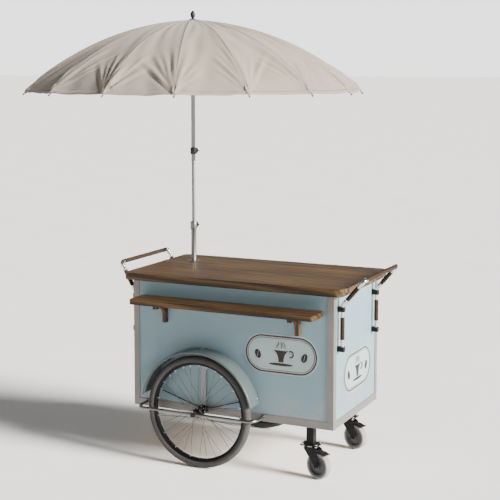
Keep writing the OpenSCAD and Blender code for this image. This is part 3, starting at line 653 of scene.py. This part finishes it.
def brackets():
    """Two L-shaped wooden brackets with a hollowed gusset."""
    low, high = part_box("shelf_brackets")
    leg, gusset, thick = 20 * MM, 55 * MM, 25 * MM
    back, under = high.y, high.z
    inner = arc((back - leg - gusset, under - leg - gusset), gusset, 0, 90, 10)
    outline = [(back, under), (low.y, under), (low.y, under - leg)] + list(reversed(inner)) + [
        (back - leg, low.z), (back, low.z)]
    shape = Shape()
    for x in (low.x, high.x - thick):
        shape.plate(outline, x, x + thick, facing_right, 0.002, 3)
    shape.build("bracket_pair", "cart", bracket_wood, "counter_wood", ["shelf_brackets"])


brackets()


# ---- Spoked wheels, fenders and guards ----------------------------------------------------

WHEEL = centre_of("tyre_front")
MID_Y = (centre_of("tyre_front").y + centre_of("tyre_back").y) / 2
OTHER_SIDE = mirrored_across(MID_Y)
TYRE_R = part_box("tyre_front")[1].z - WHEEL.z
TYRE_HALF = (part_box("tyre_front")[1].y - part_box("tyre_front")[0].y) / 2
RIM_OUT, RIM_IN, RIM_HALF = 271 * MM, 255 * MM, 15 * MM
SPOKES = 32
FENDER_R, FENDER_FROM, FENDER_TO = 335 * MM, 12, 168
GUARD_HALF, GUARD_OUT, GUARD_BEND = 350 * MM, 58 * MM, 50 * MM


def in_wheel_plane(degrees):
    """The direction at an angle in the wheel's own plane."""
    turn = math.radians(degrees)
    return Vector((math.cos(turn), 0, math.sin(turn)))


def tyre():
    """A tyre with centre grooves, angled sipes on its shoulders, and moulded rings on its walls."""
    around, sipes = 432, 72
    middle = TYRE_R - TYRE_HALF
    section = [math.radians(-126 + 252 * i / 42) for i in range(43)]
    rings = []
    for n in range(around):
        turn = 2 * math.pi * n / around
        out = Vector((math.cos(turn), 0, math.sin(turn)))
        ring = []
        for a in section:
            slant = abs(math.degrees(a))
            cut = 0.0
            if slant < 58:
                phase = (turn * sipes / (2 * math.pi) + slant / 60) % 1
                groove = min(abs(slant - 12), abs(slant - 34)) < 3.1
                cut = 1.3 * MM if groove or (phase < 0.2 and slant > 14) else 0.0
            elif abs(slant - 84) < 3.5 or abs(slant - 102) < 3.5:
                cut = -0.5 * MM
            r = TYRE_HALF - cut - 0.5 * MM
            ring.append(WHEEL + out * (middle + r * math.cos(a)) + ACROSS * (r * math.sin(a)))
        foot = [(RIM_OUT - 1 * MM, 13 * MM), (RIM_OUT - 1 * MM, -13 * MM)]
        ring += [WHEEL + out * r + ACROSS * y for r, y in foot]
        rings.append(ring)
    return Shape().loft(rings, closed=True)


def rim():
    """A deep rim section with rolled edges and a sunken bed for the tyre."""
    edge = arc((RIM_OUT - 2 * MM, RIM_HALF - 2 * MM), 2 * MM, -20, 110, 5)
    half = ([(RIM_IN, 0), (RIM_IN, 6 * MM)] + arc((RIM_IN + 5 * MM, 7 * MM), 5 * MM, 180, 115, 4)
            + [(RIM_OUT - 4.5 * MM, RIM_HALF)] + list(reversed(edge[:-1]))
            + [(RIM_OUT - 1.5 * MM, RIM_HALF - 4.5 * MM), (RIM_OUT - 6 * MM, 8 * MM)])
    return Shape().lathe(half + mirrored(half[1:]), WHEEL, ACROSS, 160, closed=True)


def spoke_ends(i):
    """Where spoke i leaves its flange and meets the rim, as the CAD has them."""
    side, lead = (1 if i % 2 == 0 else -1), (1 if i % 4 < 2 else -1)
    at_rim = 2 * math.pi * i / SPOKES
    at_hub = at_rim + lead * math.radians(70)
    start = Vector((23 * MM * math.cos(at_hub), side * (24 + lead * 3.1) * MM, 23 * MM * math.sin(at_hub)))
    end = Vector((RIM_IN * math.cos(at_rim), side * 4 * MM, RIM_IN * math.sin(at_rim)))
    return WHEEL + start, WHEEL + end


def nipples_and_valve():
    """A nipple on each spoke, a rounded head at each flange, and the tyre's valve."""
    shape = Shape()
    nipple = mm((2.4, -1), (2.4, 1.5), (2.0, 2.5), (2.0, 10), (1.3, 11.5), (0, 11.6))
    head = mm((0, -2.2), (1.7, -1.8), (2.3, 0), (1.7, 1.6), (0, 1.8))
    for i in range(SPOKES):
        start, end = spoke_ends(i)
        inward = (start - end).normalized()
        shape.lathe(nipple, end, inward, 10)
        shape.lathe(head, start, -inward, 10)
    # The valve stands midway between two spokes
    out = in_wheel_plane(180 * 33 / SPOKES)
    stem = mm((0, 0), (2.2, 0.4), (2.7, 1), (2.7, 9), (3.4, 10), (3.4, 24), (5, 26), (5, 34), (0, 34))
    return shape.lathe(stem, WHEEL + out * (RIM_IN - 32 * MM), out, 16)


def hub():
    """Barrel, two flanges and dust caps, bored for the axle."""
    bore = 6.05 * MM
    half = mm((12, 13), (13, 20), (22, 22), (24.2, 22.3), (25, 23), (25, 25), (24.2, 25.7), (15, 26.5),
              (14, 29), (17, 30.2), (18, 31), (18, 36.6), (16.6, 38))
    profile = [(bore, -38 * MM)] + mirrored(half) + half + [(bore, 38 * MM)]
    return Shape().lathe(profile, WHEEL, ACROSS, 48, closed=True)


def for_both_sides(shape_of, name, material, slot, bodies, replaced=None):
    """Builds a customer-side shape, and its mirror image for the operator side."""
    for side, body in zip(("front", "back"), bodies):
        shape = shape_of()
        if side == "back":
            shape.points = [OTHER_SIDE @ p for p in shape.points]
            shape.faces = [tuple(reversed(corners)) for corners in shape.faces]
        nodes = [replaced.format(side)] if replaced else []
        shape.build(f"{side}_{name}", body, material, slot, nodes)


WHEELS, CART = ("front_wheel", "back_wheel"), ("cart", "cart")
for_both_sides(tyre, "tyre_casing", tyre_rubber, "tyre_rubber", WHEELS, "tyre_{}")
for_both_sides(rim, "rim_section", rim_gloss, "rim_black", WHEELS, "rim_{}")
for_both_sides(nipples_and_valve, "nipples", bright_steel, "spoke_steel", WHEELS)
for_both_sides(hub, "hub_shell", rim_gloss, "rim_black", WHEELS, "hub_{}")


def fender():
    """A rolled sheet over the wheel with both edges turned in, round-cornered in section."""
    low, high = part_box("front_fender")
    outer, thick, lip, bend = high.z - WHEEL.z, 2.5 * MM, 12 * MM, 5 * MM
    y_out, y_in = low.y, high.y
    shell = ([(outer - lip, y_in)] + arc((outer - bend, y_in - bend), bend, 90, 0, 6)
             + arc((outer - bend, y_out + bend), bend, 0, -90, 6) + [(outer - lip, y_out)])
    inner = ([(outer - lip, y_out + thick)]
             + arc((outer - bend, y_out + bend), bend - thick, -90, 0, 6)
             + arc((outer - bend, y_in - bend), bend - thick, 0, 90, 6) + [(outer - lip, y_in - thick)])
    crown_rise = 1.2 * MM
    rings = []
    steps = 120
    for i in range(steps + 1):
        out = in_wheel_plane(FENDER_FROM + (FENDER_TO - FENDER_FROM) * i / steps)
        ring = []
        for r, y in shell + inner:
            share = (y - y_in) / (y_out - y_in)
            rise = -crown_rise * (2 * share - 1) ** 2 if r > outer - bend else 0
            ring.append(Vector((WHEEL.x, y, WHEEL.z)) + out * (r + rise))
        rings.append(ring)
    return Shape().loft(rings)


def fender_rivets():
    """Domed rivets that hold the stays to the fender, with a second one at its crown."""
    shape = Shape()
    dome = mm((5, -0.5), (4.6, 0.6), (3, 1.7), (0, 2.1))
    stay_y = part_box("front_panel")[0].y - 12 * MM
    for degrees, y in ((17, stay_y), (90, stay_y), (90, stay_y - 18 * MM), (163, stay_y)):
        out = in_wheel_plane(degrees)
        shape.lathe(dome, Vector((WHEEL.x, y, WHEEL.z)) + out * (FENDER_R - 0.6 * MM), out, 16)
    return shape


def guard():
    """A bent tube round the wheel, with a flange at each foot and a boss at the axle."""
    panel_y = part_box("front_guard")[1].y
    foot_y, run_y = panel_y - 2 * MM, WHEEL.y - GUARD_OUT
    corners = [Vector((WHEEL.x + x, y, WHEEL.z)) for x, y in (
        (-GUARD_HALF, foot_y), (-GUARD_HALF, run_y), (GUARD_HALF, run_y), (GUARD_HALF, foot_y))]
    shape = Shape().sweep(filleted(corners, GUARD_BEND, 12), 8 * MM, 24)
    flange = mm((0, 0), (14, 0), (15, 1), (15, 2.6), (13.6, 4), (9.4, 4.6), (8.2, 7), (0, 7.2))
    for x in (-GUARD_HALF, GUARD_HALF):
        shape.lathe(flange, Vector((WHEEL.x + x, panel_y, WHEEL.z)), -ACROSS, 32)
    boss = mm((6.2, -9), (12, -9), (13, -8), (13, 8), (12, 9), (6.2, 9))
    return shape.lathe(boss, Vector((WHEEL.x, run_y, WHEEL.z)), ACROSS, 32, closed=True)


for_both_sides(fender, "fender_sheet", fender_paint, "fender_paint", CART, "{}_fender")
for_both_sides(fender_rivets, "fender_rivets", bright_steel, "spoke_steel", CART)
for_both_sides(guard, "guard_tube", guard_steel, "polished_tube", CART, "{}_guard")


# ---- Handles -----------------------------------------------------------------------------

GRIP_R, TUBE_R, ELBOW_R = 12 * MM, 9 * MM, 10.5 * MM
ELBOW_Z = {"left": 0.898, "right": 0.925}
END_FACES = {"left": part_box("corner_posts")[0].x, "right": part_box("corner_posts")[1].x}


def handle_corners(side):
    """The handle's path: up one upright, out along its arm, across the rail and down again."""
    low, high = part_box(f"{side}_handle")
    sign = 1 if side == "right" else -1
    upright_x = END_FACES[side] + sign * 22 * MM
    rail_x = high.x - ELBOW_R if side == "right" else low.x + ELBOW_R
    near, far = low.y + ELBOW_R, high.y - ELBOW_R
    rise = [(upright_x, low.z), (upright_x, ELBOW_Z[side]), (rail_x, high.z - ELBOW_R)]
    return [Vector((x, near, z)) for x, z in rise] + [Vector((x, far, z)) for x, z in reversed(rise)]


def sleeve(shape, start, end, share_from, share_to):
    """A wrapped sleeve on a tube run: rolled ends, and a groove round it at each turn of the wrap."""
    run = end - start
    first, last = start + run * share_from, start + run * share_to
    length = (last - first).length
    turns = max(3, round(length / (26 * MM)))
    steps = turns * 10
    near_end = [(TUBE_R, 0), (GRIP_R - 1.5 * MM, 0), (GRIP_R, 1.4 * MM), (GRIP_R, 5 * MM),
                (GRIP_R - 1.1 * MM, 6.4 * MM)]
    wrap = []
    for i in range(1, steps):
        dip = 0.9 * MM if i % 10 == 0 else 0.35 * MM * abs(i % 10 - 5) / 5
        wrap.append((GRIP_R - 0.3 * MM - dip, 7 * MM + (length - 14 * MM) * i / steps))
    far_end = [(r, length - at) for r, at in reversed(near_end)]
    shape.lathe(near_end + wrap + far_end, first, run, 28)


def handle(side):
    corners = handle_corners(side)
    tube = Shape().sweep(filleted(corners, 16 * MM, 8), TUBE_R - 0.1 * MM, 24)
    tube.build(f"{side}_handle_tube", "cart", polished_tube, "polished_tube", [f"{side}_handle"])
    fittings = Shape()
    collar = mm((9, -4), (11.9, -4), (12.1, -3.2), (12.1, 0.6), (11.6, 1.4), (9, 1.4))
    for before, here, after in zip(corners, corners[1:], corners[2:]):
        ends = [here + (beside - here).normalized() * 27 * MM for beside in (before, after)]
        fittings.sweep(filleted([ends[0], here, ends[1]], 17 * MM, 8), 11.4 * MM, 24)
        for end in ends:
            fittings.lathe(collar, end, end - here, 28)
    fittings.build(f"{side}_elbow_fittings", "cart", polished_tube, "polished_tube")
    grips = Shape()
    sleeve(grips, corners[2], corners[3], 0.07, 0.93)
    for start, end in ((corners[0], corners[1]), (corners[5], corners[4])):
        sleeve(grips, start, end, 0.26, 0.74)
    for start, end in ((corners[1], corners[2]), (corners[4], corners[3])):
        sleeve(grips, start, end, 0.22, 0.72)
    grips.build(f"{side}_grip_sleeves", "cart", grip_wrap, "grip", [f"{side}_grips"])


for side in ("left", "right"):
    handle(side)


# ---- Casters -----------------------------------------------------------------------------

CASTER_TURN = math.radians(-17)
ROLL_AXIS = Vector((-math.sin(CASTER_TURN), math.cos(CASTER_TURN), 0))


def caster_wheel(side):
    """Dished nylon core, and a crowned tread with two fine grooves."""
    middle = centre_of(f"caster_tread_{side}")
    body = f"{side}_caster_wheel"
    half = mm((5.05, 20.6), (15, 20.6), (16, 19.6), (16.5, 9), (20, 5.4), (40, 4.6), (46, 9), (47, 16.6),
              (48.5, 17.6), (57, 17.6), (58, 16.8))
    core = Shape().lathe([(r, -y) for r, y in half] + half[::-1], middle, ROLL_AXIS, 72, closed=True)
    core.build(f"{side}_caster_core", body, core_nylon, "caster_core", [f"caster_core_{side}"])
    half = mm((58, 17), (62, 18), (66, 17.2), (68.6, 14.6), (69.4, 9.6), (68.8, 9.2), (68.8, 8.4), (69.5, 8))
    crown = half + [(70 * MM, 0)] + mirrored(half)
    tread = Shape().lathe(crown, middle, ROLL_AXIS, 96, closed=True)
    tread.build(f"{side}_caster_tread", body, tread_rubber, "caster_tread", [f"caster_tread_{side}"])


def caster_fittings(side):
    """Plate bolts and the ball race's pressed ring."""
    middle = centre_of(f"caster_plate_{side}")
    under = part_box(f"caster_plate_{side}")[1].z - 4 * MM
    bolts = Shape()
    head = mm((0, -6), (5.6, -6), (6.4, -5.4), (6.4, 0), (0, 0))
    washer = mm((0, 0), (8, 0), (8.2, 0.6), (8, 1.2), (0, 1.2))
    nut = mm((4.4, 0), (4.4, 4), (7.4, 4.2), (7.4, 8), (0, 9))
    for dx in (-38 * MM, 38 * MM):
        for dy in (-30 * MM, 30 * MM):
            at = Vector((middle.x + dx, middle.y + dy, under))
            bolts.lathe(head, at, UP, 6)
            bolts.lathe(washer, at - UP * 1.2 * MM, UP, 24)
            bolts.lathe(nut, at, UP, 6)
    bolts.build(f"{side}_plate_bolts", "cart", bright_steel, "spoke_steel", sharp=30)
    ring = mm((24, -1), (27, -1), (28.4, 0), (28.4, 3.6), (27, 5), (24, 5))
    race = Shape().lathe(ring, Vector((middle.x, middle.y, under - 6.6 * MM)), UP, 40, closed=True)
    race.build(f"{side}_race_ring", f"{side}_fork", bright_steel, "spoke_steel")


for side in ("front", "back"):
    caster_wheel(side)
    caster_fittings(side)


# ---- Mast fittings -----------------------------------------------------------------------

def finial():
    """Turned cap: washer, neck and egg-shaped knob."""
    low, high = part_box("finial")
    egg_height = high.z - low.z - 14 * MM
    foot = mm((0, 0), (7, 0), (7, 6.8), (19, 7), (20, 8), (19.4, 10.4), (12, 12), (7.6, 13.4), (7, 16.5))
    egg = []
    for i in range(25):
        a = math.pi * i / 24
        share = (1 - math.cos(a)) / 2
        egg.append((14.2 * MM * math.sin(a) * (1 - 0.26 * (share - 0.35)), 14 * MM + egg_height * share))
    profile = foot + [(r, z) for r, z in egg if z > 17 * MM]
    knob = Shape().lathe(profile, Vector((mast_at.x, mast_at.y, low.z)), UP, 40)
    knob.build("finial_knob", "parasol", knob_plastic, "rib_metal", ["finial"], sharp=50)


finial()


# ---- Canopy ------------------------------------------------------------------------------

RIBS = 16
HALF_GORE = math.pi / RIBS
FIRST_RIB = math.radians(-0.2)
CANOPY_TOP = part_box("canopy")[1].z
CANOPY_R, CANOPY_DROP, HOLE_R = 0.967, 0.403, 13 * MM
# The circle whose arc is the profile, through the top, a quarter of the drop at half the radius, and the edge
MID_R, MID_DROP = CANOPY_R / 2, CANOPY_DROP / 4
ARC_Z = (CANOPY_R ** 2 / 4 + CANOPY_DROP ** 2 / 2 - MID_DROP ** 2) / (CANOPY_DROP - 2 * MID_DROP)
ARC_X = (MID_R ** 2 + MID_DROP ** 2 - 2 * MID_DROP * ARC_Z) / (2 * MID_R)
ARC_R = math.hypot(ARC_X, ARC_Z)


def profile_z(r):
    """Height of the stretched cloth at radius r."""
    return CANOPY_TOP - ARC_Z + math.sqrt(ARC_R ** 2 - (r - ARC_X) ** 2)


def profile_length(r):
    """Distance along the cloth from the mast's hole out to radius r."""
    return ARC_R * (math.asin((r - ARC_X) / ARC_R) - math.asin((HOLE_R - ARC_X) / ARC_R))


def ring_at(t):
    """Radius at a share of the way from the mast's hole to the edge."""
    return HOLE_R + (CANOPY_R - HOLE_R) * t


def soft_fold():
    """A fold along a panel: its weight, pitch, start and lean."""
    return (random.uniform(0.3, 1.0), random.uniform(7, 20), random.uniform(0, 6.3), random.uniform(-9, 9))


def tip_crease(lean):
    """A crease that fans out of a rib's tip: its lean from the seam, length, width and height."""
    return (math.radians(lean + random.uniform(-4, 4)), random.uniform(0.18, 0.42),
            random.uniform(7, 11) * MM, random.uniform(5, 11) * MM)


random.seed(11)
FOLDS = [[soft_fold() for _ in range(5)] for _ in range(RIBS)]
TIP_CREASES = [[[tip_crease(lean) for lean in (6, 14, 25, 40)] for _ in (0, 1)] for _ in range(RIBS)]


def relief(panel, s, t):
    """How far the cloth stands off its frame, in metres: slack between ribs, creases that fan out of the rib
    tips, and soft folds along the panel. s runs from -1 to 1 across a panel and t from 0 to 1 outward."""
    reach = (CANOPY_R - HOLE_R) * (1 - t)
    half_width = (CANOPY_R - reach) * math.tan(HALF_GORE)
    off = -15 * MM * (1 - s * s) * t * (1.15 - 0.55 * t)
    for side in (0, 1):
        across = half_width * (1 + s if side == 0 else 1 - s)
        for lean, length, width, height in TIP_CREASES[panel][side]:
            along = across * math.sin(lean) + reach * math.cos(lean)
            widened = width * (0.5 + 1.6 * along / length)
            aside = (across * math.cos(lean) - reach * math.sin(lean)) / widened
            if along < length and abs(aside) < 3:
                fade = math.sin(math.pi * min(1.0, along / length) ** 0.6) * min(1.0, across / (12 * MM))
                off += height * fade * (math.exp(-aside * aside) - 0.55 * math.exp(-(aside - 1.5) ** 2))
    for weight, pitch, start, lean in FOLDS[panel]:
        off += 1.9 * MM * weight * math.sin(pitch * t + start + lean * s) * (1 - s ** 4) * min(1.0, 3 * t)
    return off


def cloth_point(panel, s, t, off):
    """A point of the canopy: panel number, share across it and outward, and height off the cloth."""
    local = s * HALF_GORE
    edge_pull = 1 - 0.0065 * (1 - s * s) * max(0.0, (t - 0.8) / 0.2) ** 2
    ring = ring_at(t)
    r = ring * edge_pull * math.cos(HALF_GORE) / math.cos(local)
    turn = FIRST_RIB + (2 * panel + 1) * HALF_GORE + local
    slope = math.asin((ring - ARC_X) / ARC_R)
    normal = Vector((math.sin(slope) * math.cos(turn), math.sin(slope) * math.sin(turn), math.cos(slope)))
    point = Vector((mast_at.x + r * math.cos(turn), mast_at.y + r * math.sin(turn), profile_z(ring)))
    return point + normal * (relief(panel, s, t) + off)


def cloth_flat(s, t):
    """The material's coordinates: metres across the panel, metres outward, and metres to the nearest seam."""
    ring = ring_at(t)
    width = ring * math.tan(HALF_GORE)
    return (s * width, profile_length(ring), (1 - abs(s)) * width)


def gore_column(j, per_panel):
    """The panel that a column of the whole round lies in, and the share across it."""
    return j // per_panel, 2 * (j % per_panel) / per_panel - 1


def beside_rib(rib, across, ring):
    """The panel that lies this far across from a rib at a radius, and the share across it."""
    share = abs(across) / (ring * math.tan(HALF_GORE))
    return (rib, share - 1) if across >= 0 else ((rib - 1) % RIBS, 1 - share)


def cloth_grid(name, columns, rows, locate, flat, thick, closed=True, replaced=()):
    """A thin double-skinned cloth. locate(i, j, off) gives each grid point's place, and flat(i, j) its
    cloth coordinates."""
    points, values, faces = [], [], []
    for off in (0.0, -thick):
        for i in range(rows):
            for j in range(columns):
                points.append(locate(i, j, off))
                values.append(flat(i, j))
    count = rows * columns

    def at(layer, i, j):
        return layer * count + i * columns + j % columns

    last = columns if closed else columns - 1
    for i in range(rows - 1):
        for j in range(last):
            faces.append((at(0, i, j), at(0, i + 1, j), at(0, i + 1, j + 1), at(0, i, j + 1)))
            faces.append((at(1, i, j), at(1, i, j + 1), at(1, i + 1, j + 1), at(1, i + 1, j)))
    for j in range(last):
        faces.append((at(0, 0, j), at(0, 0, j + 1), at(1, 0, j + 1), at(1, 0, j)))
        faces.append((at(0, rows - 1, j), at(1, rows - 1, j), at(1, rows - 1, j + 1), at(0, rows - 1, j + 1)))
    if not closed:
        for i in range(rows - 1):
            faces.append((at(0, i, 0), at(1, i, 0), at(1, i + 1, 0), at(0, i + 1, 0)))
            faces.append((at(0, i, last), at(0, i + 1, last), at(1, i + 1, last), at(1, i, last)))
    mesh = bpy.data.meshes.new(name)
    mesh.from_pydata(points, [], faces)
    mesh.materials.append(cloth)
    mesh.shade_smooth()
    made = add_object(name, mesh)
    attribute = mesh.attributes.new("cloth", "FLOAT_VECTOR", "POINT")
    attribute.data.foreach_set("vector", [number for value in values for number in value])
    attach(made, "parasol")
    if replaced:
        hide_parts(*replaced)
    return made


ACROSS_PANEL, OUTWARD = 36, 100


def canopy_cloth():
    """The whole canopy as one continuous skin of 16 gores."""
    def spot(i, j):
        return *gore_column(j, ACROSS_PANEL), i / (OUTWARD - 1)

    def place(i, j, off):
        return cloth_point(*spot(i, j), off)

    def flat(i, j):
        return cloth_flat(*spot(i, j)[1:])

    columns = RIBS * ACROSS_PANEL
    return cloth_grid("canopy_cloth", columns, OUTWARD, place, flat, 1.2 * MM, replaced=["canopy"])


def seam_tapes():
    """Felled seams: a raised, double-stitched band over each rib."""
    columns = 7

    def spot(i, j):
        return 0.035 + 0.965 * i / (OUTWARD - 1), (j / (columns - 1) * 2 - 1) * 6.5 * MM

    def flat(i, j):
        t, across = spot(i, j)
        return (across, profile_length(ring_at(t)), abs(across))

    tapes = []
    for rib in range(RIBS):
        def place(i, j, off):
            t, across = spot(i, j)
            lift = (0.4 if j in (0, columns - 1) else 0.9) * MM
            return cloth_point(*beside_rib(rib, across, ring_at(t)), t, off + lift)

        name = f"canopy_seam_{rib + 1:02d}"
        tapes.append(cloth_grid(name, columns, OUTWARD, place, flat, 0.8 * MM, closed=False))
    return tapes


def hem():
    """The turned and stitched edge."""
    rows = 5

    def spot(i, j):
        return *gore_column(j, ACROSS_PANEL), 1 - 0.02 * (1 - i / (rows - 1))

    def place(i, j, off):
        return cloth_point(*spot(i, j), off + (0.9 if i else 0.3) * MM)

    def flat(i, j):
        across, down, _ = cloth_flat(*spot(i, j)[1:])
        return (down, across, 0.001 + 0.018 * i / (rows - 1))

    return cloth_grid("canopy_hem", RIBS * ACROSS_PANEL, rows, place, flat, 3.0 * MM)


def pockets():
    """Small reinforced pockets that hold the rib tips."""
    size = 9

    def spot(i, j):
        taper = 1 - 0.45 * (1 - i / (size - 1)) ** 2
        return 0.955 + 0.0462 * i / (size - 1), (j / (size - 1) * 2 - 1) * 17 * MM * taper

    def flat(i, j):
        t, across = spot(i, j)
        edge = min(i, size - 1 - i) / (size - 1) * 0.03
        return (across, profile_length(CANOPY_R) * t, edge)

    made = []
    for rib in range(RIBS):
        def place(i, j, off):
            t, across = spot(i, j)
            rise = 1.9 * MM + 0.8 * MM * (1 - (j / (size - 1) * 2 - 1) ** 2)
            return cloth_point(*beside_rib(rib, across, CANOPY_R), min(t, 1.0), off + rise)

        name = f"rib_pocket_{rib + 1:02d}"
        made.append(cloth_grid(name, size, size, place, flat, 1.0 * MM, closed=False))
    return made


def crown_patch():
    """A round stitched patch under the finial."""
    per_panel, rows = 6, 8
    inside, outside = 14 * MM, 48 * MM

    def spot(i, j):
        ring = inside + (outside - inside) * i / (rows - 1)
        return *gore_column(j, per_panel), (ring - HOLE_R) / (CANOPY_R - HOLE_R)

    def place(i, j, off):
        return cloth_point(*spot(i, j), off + (2.1 if i < rows - 1 else 1.2) * MM)

    def flat(i, j):
        across, down, _ = cloth_flat(*spot(i, j)[1:])
        return (across, down, (rows - 1 - i) / (rows - 1) * 0.034)

    return cloth_grid("crown_patch", RIBS * per_panel, rows, place, flat, 1.0 * MM)


canopy = canopy_cloth()
trimmings = seam_tapes() + [hem()] + pockets() + [crown_patch()]
# The length of each of the sixteen straight-sided gores along the cloth, from the mast's hole to the edge
GORE_LENGTH = profile_length(CANOPY_R)


# ---- Badges ------------------------------------------------------------------------------

def badge_art(name, centre, place):
    """A generic badge on its plate: two borders, a cup on a saucer with steam, and two beans."""
    length, height, base, bean_x = 420 * MM, 212 * MM, 1.5 * MM, 132
    step = math.pi / 16

    def stadium(shrink):
        r = height / 2 - shrink
        half = length / 2 - height / 2
        return arc((half, 0), r, -90, 90, 24) + arc((-half, 0), r, 90, 270, 24)

    def put(u, v, w):
        return centre + place(u, v, w)

    ring = Shape().plate(stadium(7 * MM), base, base + 1.0 * MM, put, 0.3 * MM, 2, hole=stadium(15 * MM))
    ring.build(f"{name}_border", "cart", badge_red, "badge_print")
    inner = Shape().plate(stadium(20 * MM), base, base + 0.7 * MM, put, 0.2 * MM, 2, hole=stadium(22.5 * MM))
    bowl = [(-48 + 34 * math.sin(k * step), 22 - 62 * (1 - math.cos(k * step))) for k in range(9)]
    bowl += [(-x, y) for x, y in reversed(bowl)]
    inner.plate(mm(*bowl), base, base + 1.0 * MM, put, 0.3 * MM, 2)
    saucer = [(68 * MM * math.cos(a), (-52 + 7 * math.sin(a)) * MM)
              for a in (2 * math.pi * k / 40 for k in range(40))]
    inner.plate(saucer, base, base + 1.0 * MM, put, 0.3 * MM, 2)
    handle_path = [put((50 + 20 * math.sin(a)) * MM, (6 + 17 * math.cos(a)) * MM, base + 0.5 * MM)
                   for a in (math.pi * k / 14 for k in range(15))]
    inner.sweep(handle_path, 3.2 * MM, 12)
    for x in (-20, 0, 20):
        steam = [put((x + 5 * math.sin(3.6 * k / 12 + x)) * MM, (34 + 36 * k / 12) * MM, base + 0.3 * MM)
                 for k in range(13)]
        inner.sweep(steam, [(0.8 + 1.6 * math.sin(math.pi * k / 12)) * MM for k in range(13)], 10)
    for middle in (-bean_x, bean_x):
        lean = math.copysign(5, middle)
        bean = [(middle + 17 * math.cos(a) + lean * math.sin(a), -6 + 24 * math.sin(a))
                for a in (2 * math.pi * k / 36 for k in range(36))]
        crease = [(middle + 3.4 * math.sin(2.6 * k / 8 - 1.3), -22 + 4 * k) for k in range(9)]
        slit = [(x + 1.6, y) for x, y in crease] + [(x - 1.6, y) for x, y in reversed(crease)]
        inner.plate(mm(*bean), base, base + 1.0 * MM, put, 0.3 * MM, 2, hole=mm(*slit))
    inner.build(f"{name}_cup", "cart", badge_brown, "badge_print")


front_at, end_at = centre_of("front_emblem"), centre_of("end_emblem")
front_at.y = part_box("front_emblem")[1].y
end_at.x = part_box("end_emblem")[0].x
badge_art("front_badge", front_at, facing_front)
badge_art("end_badge", end_at, facing_right)


# ---- Stage, light and camera --------------------------------------------------------------

def floor():
    """A pale, faintly mottled floor that runs out to the horizon."""
    mesh = bpy.data.meshes.new("studio_floor")
    half = 300.0
    mesh.from_pydata([(-half, -half, 0), (half, -half, 0), (half, half, 0), (-half, half, 0)], [], [range(4)])
    f = Finish("studio_floor")
    tone = f.vary(f.noise(1.3, detail=3.0), (1.0, 1.0, 1.0), 0.86, 0.9)
    mesh.materials.append(f.finish(tone, 0.7))
    made = add_object("studio_floor", mesh)


def light(name, kind, energy, at, toward, **settings):
    """A lamp at a place, turned toward another."""
    lamp = bpy.data.lights.new(name, kind)
    lamp.energy = energy
    for key, value in settings.items():
        setattr(lamp, key, value)
    made = add_object(name, lamp)
    made.location = at
    made.rotation_mode = "QUATERNION"
    made.rotation_quaternion = (Vector(toward) - Vector(at)).to_track_quat("-Z", "Y")


WARM_WHITE = (1.0, 0.965, 0.91)
HORIZON_LIGHT, SKY_LIGHT = 2.4, 0.2
floor()
light("key", "SUN", 20.0, (6, -0.4, 2.4), (0, 0, 0), angle=math.radians(18), color=WARM_WHITE)
light("fill", "AREA", 4, (-1.5, -5.5, 3.0), (0.2, 0, 1.0), shape="RECTANGLE", size=4.0, size_y=3.0)
world = bpy.data.worlds.new("studio")
bpy.context.scene.world = world
world.use_nodes = True
background = world.node_tree.nodes["Background"]
background.inputs["Color"].default_value = (1.0, 1.0, 1.0, 1)
# The sky is brightest along the horizon, so the backdrop meets the floor softly
nodes, links = world.node_tree.nodes, world.node_tree.links
heading = nodes.new("ShaderNodeTexCoord")
split = nodes.new("ShaderNodeSeparateXYZ")
fade = nodes.new("ShaderNodeMapRange")
for key, value in (("From Min", 0.05), ("From Max", 0.16), ("To Min", HORIZON_LIGHT), ("To Max", SKY_LIGHT)):
    fade.inputs[key].default_value = value
links.new(heading.outputs["Generated"], split.inputs["Vector"])
links.new(split.outputs["Z"], fade.inputs["Value"])
links.new(fade.outputs["Result"], background.inputs["Strength"])

CAMERA_AT = Vector((3.110, -6.108, 2.130))
CAMERA_AZIMUTH, CAMERA_PITCH, CAMERA_LENS, CAMERA_SHIFT = 25.227, -5.8, 86.06, -0.12
camera = bpy.data.cameras.new("camera")
camera.lens = CAMERA_LENS
camera.sensor_width = 36
camera.shift_y = CAMERA_SHIFT
camera.clip_end = 600
camera_object = add_object("camera", camera)
camera_object.location = CAMERA_AT
camera_object.rotation_euler = (math.radians(90 + CAMERA_PITCH), 0, math.radians(CAMERA_AZIMUTH))
bpy.context.scene.camera = camera_object
